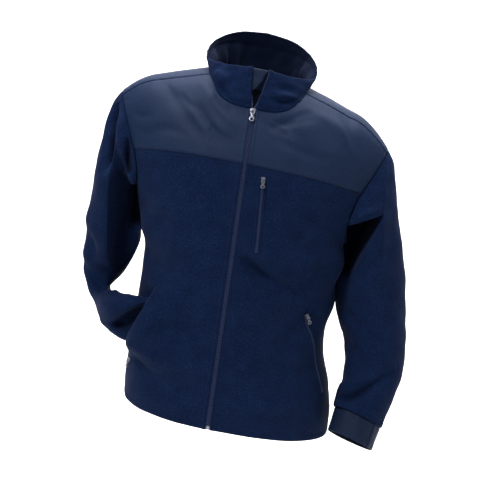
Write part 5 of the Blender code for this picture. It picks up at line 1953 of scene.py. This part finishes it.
@dataclass
class Stitching:
    """Rows of lock stitches: short thick threads that lie half buried in the cloth."""

    finishes: Finishes
    pitch: float = 0.0031
    length: float = 0.0023
    radius: float = 0.00042
    rows: list[Shape] = field(default_factory=list)

    def shape(self) -> Shape:
        """One stitch: three rings of six points, thin at both ends.

        Returns:
            Points and faces.
        """
        turn = np.arange(6) * math.pi / 3
        rings = [np.stack([np.full(6, x), r * np.cos(turn), r * np.sin(turn) + lift], -1)
                 for x, r, lift in ((-0.5, 0.4, -0.35), (0.0, 1.0, 0.0), (0.5, 0.4, -0.35))]
        return tube_shape(np.stack(rings) * [self.length, self.radius, self.radius])

    def sew(self, line: Array, normals: Array) -> None:
        """Adds a row of stitches along a line on the cloth.

        Args:
            line: its points.
            normals: the cloth's normals there.
        """
        line, normals = resampled(line, self.pitch, normals)
        if len(line) < 3:
            return
        frames = frames_along(line, normals)
        self.rows.append(placed(*self.shape(), line + frames[:, 2] * self.radius * 0.35, frames))

    def build(self, name: str) -> None:
        """Joins every row into one piece and starts afresh."""
        settle(add_mesh(name, *joined(self.rows), self.finishes.thread), "tape")
        self.rows = []


@dataclass(frozen=True)
class Teeth:
    """The two rows of a zip's teeth: how far apart, how long, wide and tall they are."""

    pitch: float
    reach: float
    width: float
    height: float

    def shape(self) -> Shape:
        """One tooth: rounded rectangles of eight points that narrow towards its top.

        Returns:
            Points and faces.
        """
        x, y = squared((np.arange(8) + 0.5) * math.pi / 4, 0.5)
        levels = ((0.0, 1.0), (0.62, 1.0), (0.90, 0.86), (1.0, 0.60))
        return tube_shape(np.stack([
            np.stack([x * self.width / 2 * size, y * self.reach / 2 * size, np.full(8, up * self.height)], -1)
            for up, size in levels]))

    def rows(self, line: Array, normals: Array, centres: tuple[float, ...], depth: float) -> Shape:
        """Teeth along a line, in rows at the given distances to one side, each half a pitch behind the last.

        Args:
            line: the middle of the chain.
            normals: the cloth's normals there.
            centres: distances across, one for each row.
            depth: how far the teeth's feet lie below the line.

        Returns:
            Points and faces.
        """
        line, normals = resampled(line, self.pitch / 2, normals)
        frames = frames_along(line, normals)
        picks = [(np.s_[i % 2:: 2], centre) for i, centre in enumerate(centres)]
        return joined([placed(*self.shape(), line[pick] + frames[pick, 1] * centre - frames[pick, 2] * depth,
                              frames[pick]) for pick, centre in picks])


def plate(outline: Array, holes: tuple[Array, ...], thick: float, edge: float) -> Shape:
    """A plate with holes and rounded edges, from a filled flat curve: its face in x and z, its middle at y 0.

    Args:
        outline: its outline, as (x, z) points.
        holes: outlines of its holes.
        thick: its thickness.
        edge: the radius of its rounded edges.

    Returns:
        Points and a list with its triangles.
    """
    curve = bpy.data.curves.new("outline", "CURVE")
    curve.dimensions = "2D"
    curve.fill_mode = "BOTH"
    curve.extrude = thick / 2 - edge
    curve.bevel_depth = edge
    curve.bevel_resolution = 2
    curve.offset = -edge
    for loop in (outline, *holes):
        spline = curve.splines.new("POLY")
        spline.points.add(len(loop) - 1)
        flat = np.column_stack([loop, np.zeros(len(loop)), np.ones(len(loop))])
        spline.points.foreach_set("co", flat.ravel())
        spline.use_cyclic_u = True
    holder = bpy.data.objects.new("outline", curve)
    bpy.context.scene.collection.objects.link(holder)
    bpy.context.view_layer.update()
    mesh = bpy.data.meshes.new_from_object(holder.evaluated_get(bpy.context.evaluated_depsgraph_get()))
    mesh.calc_loop_triangles()
    points = np.empty(len(mesh.vertices) * 3)
    mesh.vertices.foreach_get("co", points)
    cells = np.empty(len(mesh.loop_triangles) * 3, np.int32)
    mesh.loop_triangles.foreach_get("vertices", cells)
    bpy.data.objects.remove(holder, do_unlink=True)
    bpy.data.meshes.remove(mesh)
    bpy.data.curves.remove(curve)
    points = points.reshape(-1, 3)[:, [0, 2, 1]] * [1, -1, 1]
    points, index = np.unique(np.round(points, 7), axis=0, return_inverse=True)
    cells = index.reshape(-1)[cells.reshape(-1, 3)]
    cells = cells[(cells[:, 0] != cells[:, 1]) & (cells[:, 1] != cells[:, 2]) & (cells[:, 2] != cells[:, 0])]
    return points, facing_out(points, [cells])


def lobed(half_widths: tuple[tuple[float, float], ...]) -> Array:
    """An outline that is the same on both sides, from its half widths down its length, as (x, z) points.

    Args:
        half_widths: z and half width, from the top down.

    Returns:
        The outline's points.
    """
    down, half = np.array(half_widths).T
    at = np.arange(float(len(down)))
    fine = np.linspace(0, at[-1], 6 * (len(down) - 1))
    side = np.column_stack([smooth(fine, at, half), np.interp(fine, at, down)])
    return np.concatenate([side, side[::-1] * [-1, 1]])


def round_hole(x_half: float, top: float, bottom: float) -> Array:
    """An oval hole between two heights, as (x, z) points."""
    x, z = squared(np.linspace(0, 2 * math.pi, 14, endpoint=False), 0.75)
    return np.column_stack([x_half * x, (top + bottom) / 2 + (top - bottom) / 2 * z])


class SliderSize(Enum):
    """Half the slider's width, half the pull's width and the pull's length."""

    FRONT = (0.0060, 0.0052, 0.0235)
    SMALL = (0.0043, 0.0044, 0.0165)


@dataclass
class Slider:
    """A zip's slider with its bridge, and the pull that hangs from it.

    In its own frame x runs across the chain, z up along it and -y out of the cloth.
    """

    prefix: str
    place: Array
    axes: Triple
    size: SliderSize
    finishes: Finishes
    length: float = 0.0105
    thick: float = 0.0026
    gap: float = 0.0008
    plate: float = 0.0012
    skirt: float = 0.0014
    arch_reach: float = 0.003696
    arch_height: float = 0.0043
    arch_foot: float = 0.0008
    arch_square: float = 0.55
    arch_half: float = 0.0010
    arch_spread: float = 0.0004
    arch_thick: float = 0.00055
    pull_lift: float = 0.0020

    def add(self, kind: str, body: str, *parts: Shape) -> None:
        """Joins plates and tubes into one metal piece that rides on a body in place of a node.

        Args:
            kind: the end of the node's name.
            body: the body.
            parts: the shapes.
        """
        points, faces = joined(parts)
        name = f"{self.prefix}_{kind}"
        obj = add_mesh(f"{name}_zinc", self.place + points @ np.stack(self.axes), faces, self.finishes.metal)
        settle(obj, "metal", name, body=body)

    def bridge(self, base: float) -> Shape:
        """The bridge: an oval section carried along a rounded arch from end to end of the slider.

        Args:
            base: the y of the slider's outer face.

        Returns:
            Points and faces.
        """
        turn = np.linspace(0, math.pi, 21)
        z = self.arch_reach * squared(turn, self.arch_square)[0]
        y = base + self.arch_foot - self.arch_height * np.sin(turn) ** self.arch_square
        path = np.column_stack([0 * z, y, z])
        along = unit(np.gradient(path, axis=0))
        across = np.array([1.0, 0, 0])
        out = np.cross(along, across)
        around = np.arange(10) * math.pi / 5
        half = self.arch_half + self.arch_spread * np.cos(turn) ** 2
        return tube_shape(path[:, None] + across * (np.cos(around)[None, :, None] * half[:, None, None])
                          + out[:, None] * np.sin(around)[None, :, None] * self.arch_thick)

    def build(self) -> None:
        """The slider and its pull."""
        base = -self.thick - self.gap
        half, wide, reach = self.size.value
        top = self.length / 2
        body_outline = lobed(((top, 0.0), (top - 0.0002, half * 0.62), (top - 0.0012, half * 0.97),
                              (top - 0.0030, half), (0.0, half * 0.80), (-top + 0.0020, half * 0.72),
                              (-top + 0.0004, half * 0.60), (-top, 0.0)))
        upper, cells = plate(body_outline, (), self.plate, 0.0004)
        upper[:, 1] += base + self.plate / 2
        skirt, skirt_cells = plate(body_outline * [0.94, 0.97], (), self.skirt, 0.0003)
        skirt[:, 1] -= self.gap + self.skirt / 2
        self.add("slider", "jacket", (upper, cells), (skirt, skirt_cells), self.bridge(base))
        shape = lobed((
            (0.0006, 0.0), (0.0005, wide * 0.50), (-0.0004, wide * 0.74), (-reach * 0.20, wide * 0.90),
            (-reach * 0.34, wide * 0.80), (-reach * 0.46, wide * 0.50), (-reach * 0.54, wide * 0.50),
            (-reach * 0.66, wide * 0.88), (-reach * 0.80, wide), (-reach * 0.93, wide * 0.80),
            (-reach + 0.0001, wide * 0.40), (-reach, 0.0)))
        eye = round_hole(wide * 0.46, -0.0007, -0.0062)
        ring = round_hole(wide * 0.48, -reach * 0.70, -reach * 0.91)
        pull, cells = plate(shape, (eye, ring), self.plate, 0.0003)
        pull[:, 1] += base - self.pull_lift
        self.add("pull", f"{self.prefix}_pull", (pull, cells))


# A short zip: how far its teeth and its tape stand off the cloth, and half the tape's width and its wall
TEETH_LIFT, TAPE_LIFT, TAPE_HALF, TAPE_WALL = 0.0016, 0.0013, 0.0042, 0.0011
# Its welts: where they begin and end, how tall they are, how deep their edges sink, and their wall
WELT_NEAR, WELT_FAR, WELT_HEIGHT, WELT_SUNK, WELT_WALL = 0.0031, 0.0085, 0.0029, 0.0006, 0.0009

FRONT_TEETH = Teeth(pitch=0.0029, reach=0.0047, width=0.0018, height=0.0027)
COLLAR_TEETH = Teeth(pitch=0.0029, reach=0.0030, width=0.0017, height=0.0024)
SHORT_TEETH = Teeth(pitch=0.0022, reach=0.0029, width=0.0014, height=0.0018)
MOUTH_TEETH = Teeth(pitch=0.0024, reach=0.0022, width=0.0014, height=0.0018)

# The axes that the small pulls turn about, as the part's record has them
HINGES = {
    "chest": (0.995847, 0.061163, 0.067443),
    "pocket_left": (0.712126, 0.547564, 0.439376),
    "pocket_right": (0.485489, -0.871442, -0.069922),
}


@dataclass
class Zips:
    """The front, chest and pocket zips: chains of moulded teeth, welts, sliders, pulls and the foot."""

    collar: Collar
    body: Body
    finishes: Finishes

    def teeth_piece(self, name: str, node: str, made: Shape) -> None:
        """Adds rows of teeth in place of a chain's node."""
        settle(add_mesh(name, *made, self.finishes.teeth), "teeth", node)

    def small_slider(self, prefix: str, normal: Array, up: Array) -> None:
        """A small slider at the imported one's place and axes, which its pull turns about.

        Its length is the direction in which the solid's points spread most.

        Args:
            prefix: the zip's name.
            normal: the cloth's normal there.
            up: the way up the chain.
        """
        node = bpy.data.objects[f"{prefix}_slider"]
        spots = np.empty(len(node.data.vertices) * 3)
        node.data.vertices.foreach_get("co", spots)
        turn = np.array(node.matrix_world)
        spots = spots.reshape(-1, 3) @ turn[:3, :3].T + turn[:3, 3]
        across = unit(np.array(HINGES[prefix]))
        spread = np.linalg.eigh(np.cov(spots.T))[1][:, 2]
        along = unit(spread - across * (spread @ across)) * np.sign(spread @ up)
        out = np.cross(along, across)
        out = out * np.sign(out @ normal)
        own = spots @ np.stack([across, out, along], -1)
        low, high = own.min(0), own.max(0)
        middle = (low + high) / 2
        place = across * middle[0] + out * (low[1] - Slider.gap) + along * middle[2]
        Slider(prefix, place, chain_axes(out, along), SliderSize.SMALL, self.finishes).build()

    def front(self) -> None:
        """The closed front zip from the hem to the neck, and the open halves on the collar."""
        spine = (self.body.cloth.front[1][::-1, 0] + self.body.cloth.front[-1][::-1, 0]) / 2 * [0, 1, 1]
        normals = unit(self.body.cloth.normal[1][::-1, 0] * [0, 1, 1])
        end = int((running(spine[:, None])[-1, 0] - running(spine[:, None])[:, 0] > 0.0085).sum())
        line, facing = spine[3:end], normals[3:end]
        self.teeth_piece("front_chain_teeth", "front_chain",
                         FRONT_TEETH.rows(line, facing, (-0.0020, 0.0020), 0.0015))
        for side, label, edge, beside in ((1, "left", 0, 2), (-1, "right", -1, -3)):
            rim = self.collar.points[:, edge]
            off = unit(rim - self.collar.points[:, beside])
            out = self.collar.normals[:, edge]
            # The guard covers the upper half of the right row
            hidden = ease((np.linspace(0, 1, len(rim)) - 0.30) / 0.12)[:, None] * (side < 0)
            line = rim + off * (0.0014 - 0.0026 * hidden) - out * (0.0030 + 0.0022 * hidden)
            self.teeth_piece(f"collar_chain_{label}_teeth", f"collar_chain_{label}",
                             COLLAR_TEETH.rows(line[1:], out[1:], (0.0,), 0.0))
        down = unit(spine[3] - spine[0])
        place = spine[0] + down * Slider.length / 2 - normals[0] * 0.0004
        Slider("front", place, chain_axes(normals[0], -down), SliderSize.FRONT, self.finishes).build()
        self.foot(spine, normals)

    def foot(self, spine: Array, normals: Array) -> None:
        """The box and pin at the zip's closed foot: a bevelled plate with a slot.

        Args:
            spine: the chain's middle from the top down.
            normals: the cloth's normals there.
        """
        up = unit(spine[-4] - spine[-1])
        shape = lobed(((0.0, 0.0), (-0.0002, 0.0030), (-0.0010, 0.0039), (-0.0040, 0.0040), (-0.0070, 0.0038),
                       (-0.0079, 0.0028), (-0.0080, 0.0)))
        points, faces = plate(shape, (round_hole(0.0006, -0.0016, -0.0064),), 0.0034, 0.0006)
        points = spine[-1] + up * 0.0086 + (points + [0, 0.0010, 0]) @ np.stack(chain_axes(normals[-1], up))
        settle(add_mesh("front_box_zinc", points, faces, self.finishes.metal), "metal", "front_box")

    def welt(self, name: str, line: Array, normals: Array, near: float, far: float,
             height: float) -> None:
        """A turned lip of cloth beside a short zip: a low hump between two distances from its middle line.

        Args:
            name: the piece's name.
            line: the zip's middle line.
            normals: the cloth's normals there.
            near: the nearer distance.
            far: the farther one.
            height: how high the hump stands.
        """
        frames = frames_along(line, normals)
        across = np.linspace(0, 1, 9)
        hump = height * np.sin(across * math.pi) ** 0.6 - WELT_SUNK
        ends = ease(np.minimum(np.arange(len(line)), np.arange(len(line))[::-1]) / 4)[:, None]
        spread = near + (far - near) * across
        points = (line[:, None] + frames[:, 1:2] * spread[None, :, None]
                  + frames[:, 2:3] * (hump[None] * ends - WELT_SUNK * (1 - ends))[..., None])
        flap(name, (), points, normals, WELT_WALL, self.finishes.fleece, "fleece")

    def strip(self, prefix: str, line: Array, frames: Array) -> None:
        """The tape under a short zip's teeth, which the stitches hold flat on the cloth.

        Args:
            prefix: the zip's name.
            line: its middle line.
            frames: the axes there.
        """
        across = np.linspace(-TAPE_HALF, TAPE_HALF, 7)
        points = line[:, None] + frames[:, 1:2] * across[None, :, None] + frames[:, 2:3] * TAPE_LIFT
        name = f"{prefix}_tape"
        flap(f"{name}_woven", (name,), points, frames[:, 2], TAPE_WALL, self.finishes.tape, "tape")

    def laid(self, prefix: str, line: Array, normals: Array) -> None:
        """A short zip on the cloth's face: its chain, its tape, both welts and the slider at its top.

        Args:
            prefix: the zip's name.
            line: its middle line from the top down.
            normals: the cloth's normals there.
        """
        fine, facing = resampled(line, 0.003, normals)
        frames = frames_along(fine, facing)
        raised = fine + frames[:, 2] * TEETH_LIFT
        self.teeth_piece(f"{prefix}_chain_teeth", f"{prefix}_chain",
                         SHORT_TEETH.rows(raised, facing, (-0.0012, 0.0012), 0.0))
        self.strip(prefix, fine, frames)
        for label, way in (("inner", 1), ("outer", -1)):
            self.welt(f"{prefix}_welt_{label}", fine, facing, way * WELT_NEAR, way * WELT_FAR, WELT_HEIGHT)
        self.small_slider(prefix, normals[0], fine[0] - fine[2])

    def chest(self) -> None:
        """The zip on the left chest."""
        cloth, form = self.body.cloth, self.body.cloth.form
        z, x = np.array([-0.176, -0.321]), np.array([0.0375, 0.0454])
        goal = np.column_stack([np.linspace(x[0], x[1], 60), np.linspace(z[0], z[1], 60)])
        grid = cloth.front[1][: len(form.heights) + form.mid_rows, : form.pocket_col]
        self.laid("chest", *self.snapped(grid, cloth.normal[1], goal))

    @staticmethod
    def snapped(grid: Array, normal: Array, goal: Array) -> Pair:
        """Points of the cloth over places in x and z: means of the nearest six, weighed by closeness.

        Args:
            grid: the cloth's points.
            normal: its normals.
            goal: the places.

        Returns:
            Points, smoothed along their row, and normals.
        """
        flat = grid.reshape(-1, 3)
        facing = normal[: grid.shape[0], : grid.shape[1]].reshape(-1, 3)
        gap = ((flat[None, :, [0, 2]] - goal[:, None]) ** 2).sum(-1)
        pick = np.argsort(gap, 1)[:, :6]
        weigh = 1 / (np.take_along_axis(gap, pick, 1) + 1e-7)
        weigh = (weigh / weigh.sum(1, keepdims=True))[..., None]
        spots = (flat[pick] * weigh).sum(1)
        spots[:, [0, 2]] = goal
        spots[:, 1] = np.convolve(np.pad(spots[:, 1], 3, mode="edge"), np.ones(7) / 7, "valid")
        return spots, unit((facing[pick] * weigh).sum(1))

    def pockets(self) -> None:
        """The closed left pocket zip, and the open right one along both edges of its mouth."""
        form = self.body.cloth.form
        bottom, top = form.pocket_ends
        rows = np.flatnonzero((form.heights >= bottom) & (form.heights <= top))[::-1]
        self.laid("pocket_left", self.body.cloth.front[1][rows, form.pocket_col],
                  self.body.cloth.normal[1][rows, form.pocket_col])
        lip, facing, off, edge, flat = self.body.mouth_edges
        for part, line, out in (("front", lip + off * 0.0012 - facing * 0.0022, facing),
                                ("back", edge - flat * 0.0042, flat)):
            self.teeth_piece(f"pocket_right_{part}_teeth", f"pocket_right_chain_{part}",
                             MOUTH_TEETH.rows(line[::-1], out[::-1], (0.0,), 0.0))
        foot = int(np.searchsorted(form.heights, bottom))
        grid = self.body.pieces["front_right"].points
        up = grid[foot + 3, form.pocket_col] - grid[foot, form.pocket_col]
        normal = self.body.cloth.normal[-1][foot, form.pocket_col]
        self.small_slider("pocket_right", normal, up)

    def build(self) -> None:
        """Builds every zip."""
        self.front()
        self.chest()
        self.pockets()


# ---------------------------------------------------------------- stage, light, camera


@dataclass
class Studio:
    """The plain pale floor and backdrop, soft lights, and the camera at the photograph's angle."""

    azimuth: float = 1.0
    elevation: float = 10.8
    roll: float = 8.1
    distance: float = 2.52
    lens: float = 94.2
    target: tuple[float, float, float] = (0.0085, -0.02, -0.327)
    floor_z: float = -0.98

    def camera(self) -> None:
        """A camera on the sphere round the target, turned about its own axis by the roll."""
        az, el = math.radians(self.azimuth), math.radians(self.elevation)
        away = Vector((math.sin(az) * math.cos(el), -math.cos(az) * math.cos(el), math.sin(el)))
        data = bpy.data.cameras.new("camera")
        data.lens = self.lens
        data.clip_end = 50
        made = bpy.data.objects.new("camera", data)
        place = Matrix.Translation(Vector(self.target) + away * self.distance)
        made.matrix_world = (place @ (-away).to_track_quat("-Z", "Y").to_matrix().to_4x4()
                             @ Matrix.Rotation(math.radians(self.roll), 4, "Z"))
        bpy.context.scene.collection.objects.link(made)
        bpy.context.scene.camera = made

    def floor(self) -> None:
        """A floor that bends up into a backdrop: a quarter circle between straight runs, carried across."""
        turn = np.linspace(0, math.pi / 2, 25)
        radius, near, back, wall, half = 1.2, -4.0, 2.2, 4.5, 6.0
        y = np.concatenate([[near], back + radius * np.sin(turn), [back + radius]])
        z = self.floor_z + np.concatenate([[0], radius * (1 - np.cos(turn)), [wall]])
        x = np.linspace(-half, half, 3)
        points = np.stack(np.broadcast_arrays(x, y[:, None], z[:, None]), -1)
        finish, shader = new_material("painted_studio_sweep_matt", "#f6f6f5", {"Roughness": 0.9})
        tree = finish.node_tree
        place = add_node(tree, "TexCoord").outputs["Object"]
        grain = add_node(tree, "TexNoise", {"Scale": 3.0}, Vector=place)
        tone = add_node(tree, "ValToRGB", {"stops": ((0.3, "#f3f3f2"), (0.7, "#f8f8f7"))},
                        Fac=grain.outputs["Fac"])
        tree.links.new(tone.outputs["Color"], shader.inputs["Base Color"])
        obj = add_mesh("floor", points.reshape(-1, 3), [grid_quads(len(y), 3, False)], finish)

    def light(self, name: str, place: tuple[float, float, float], size: float, power: float,
              goal: tuple[float, float, float] | None = None) -> None:
        """A square soft light aimed at the jacket's middle, or at another place.

        Args:
            name: the light's name.
            place: where it stands.
            size: its side.
            power: its watts.
            goal: the other place.
        """
        data = bpy.data.lights.new(name, "AREA")
        data.energy = power
        data.size = size
        made = bpy.data.objects.new(name, data)
        made.location = place
        aim = Vector(goal or self.target) - Vector(place)
        made.rotation_euler = aim.to_track_quat("-Z", "Y").to_euler()
        bpy.context.scene.collection.objects.link(made)

    def build(self) -> None:
        """Sets the camera, the floor, the lights and the pale surroundings."""
        self.camera()
        self.floor()
        self.light("key", (-1.15, -1.75, 2.05), 0.6, 62)
        self.light("fill", (1.6, -2.6, 0.4), 1.8, 7)
        self.light("top", (0.2, -0.3, 2.2), 1.0, 7)
        self.light("backdrop", (0.0, 0.7, 1.6), 2.0, 190, (0.0, 3.4, -0.6))
        bpy.context.scene.view_settings.view_transform = "Standard"
        world = bpy.data.worlds.new("pale_room")
        world.use_nodes = True
        background = world.node_tree.nodes["Background"]
        background.inputs["Color"].default_value = linear("#ffffff")
        background.inputs["Strength"].default_value = 0.24
        bpy.context.scene.world = world


def dress_tapes(finishes: Finishes) -> None:
    """Gives the front zip's tapes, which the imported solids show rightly, their woven finish.

    Args:
        finishes: the jacket's finishes.
    """
    for node in ("front_tape_left", "front_tape_right"):
        obj = bpy.data.objects[node]
        for slot in obj.material_slots:
            slot.material = finishes.tape


# How far the rows of stitches lie from the cloth's edge: at a seam, at the front edge and beyond the tape,
# at a hem, and on cuffs and collar
SEAM_STITCH, EDGE_STITCH, TAPE_STITCH, HEM_STITCH, BAND_STITCH = 0.0028, 0.0020, 0.0078, 0.0131, 0.0096


def sew_all(stitching: Stitching, pieces: dict[str, ClothPiece], sleeves: list[ClothPiece],
            collar: ClothPiece) -> None:
    """Lays every row of stitches.

    Args:
        stitching: where the rows gather.
        pieces: the body's panels.
        sleeves: the sleeve and cuff pieces.
        collar: the collar's piece.
    """
    yokes, fronts = ("yoke_front_left", "yoke_front_right"), ("front_left", "front_right")
    groups = (
        (yokes, (Edge.BOTTOM, Edge.LAST), SEAM_STITCH),
        (("yoke_back",), (Edge.BOTTOM, Edge.FIRST, Edge.LAST), SEAM_STITCH),
        (yokes, (Edge.FIRST,), EDGE_STITCH), (yokes, (Edge.FIRST,), TAPE_STITCH),
        (fronts, (Edge.FIRST,), EDGE_STITCH), (fronts, (Edge.FIRST,), TAPE_STITCH),
        ((*fronts, "back"), (Edge.BOTTOM,), HEM_STITCH),
        (("yoke_back",), (Edge.TOP,), SEAM_STITCH),
    )
    for names, edges, away in groups:
        for name, edge in ((name, edge) for name in names for edge in edges):
            stitching.sew(*pieces[name].line(edge, away))
    stitching.build("body_stitching")
    for piece in sleeves:
        if piece.name == "sleeve_right_fleece":
            continue  # Its end is inside the pocket
        line, normals = piece.line(Edge.TOP, HEM_STITCH if "fleece" in piece.name else BAND_STITCH)
        stitching.sew(np.concatenate([line, line[:1]]), np.concatenate([normals, normals[:1]]))
    for edge in (Edge.TOP, Edge.FIRST, Edge.LAST):
        stitching.sew(*collar.line(edge, BAND_STITCH))
    stitching.build("sleeve_and_collar_stitching")


def main() -> None:
    """Builds the studio, the cloth, the zips and the stitching in order."""
    logging.basicConfig(level=logging.INFO, format="%(name)s: %(message)s")
    Studio().build()
    finishes = Finishes()
    cloth = BodyCloth(JacketForm())
    sleeves = [Sleeve(1, LEFT_SLEEVE, LEFT_CREASES, LEFT_HOLLOWS, cloth, finishes),
               Sleeve(-1, RIGHT_SLEEVE, RIGHT_CREASES, RIGHT_HOLLOWS, cloth, finishes,
                      drags=RIGHT_DRAGS, overrun=0.014)]
    sleeve_pieces = [piece for sleeve in sleeves for piece in sleeve.build()]
    body = Body(cloth, {sleeve.side: sleeve.seam for sleeve in sleeves}, finishes)
    pieces = body.build()
    collar = Collar(cloth, finishes)
    collar_piece = collar.build()
    Zips(collar, body, finishes).build()
    dress_tapes(finishes)
    sew_all(Stitching(finishes), pieces, sleeve_pieces, collar_piece)


if __name__ == "__main__":
    main()
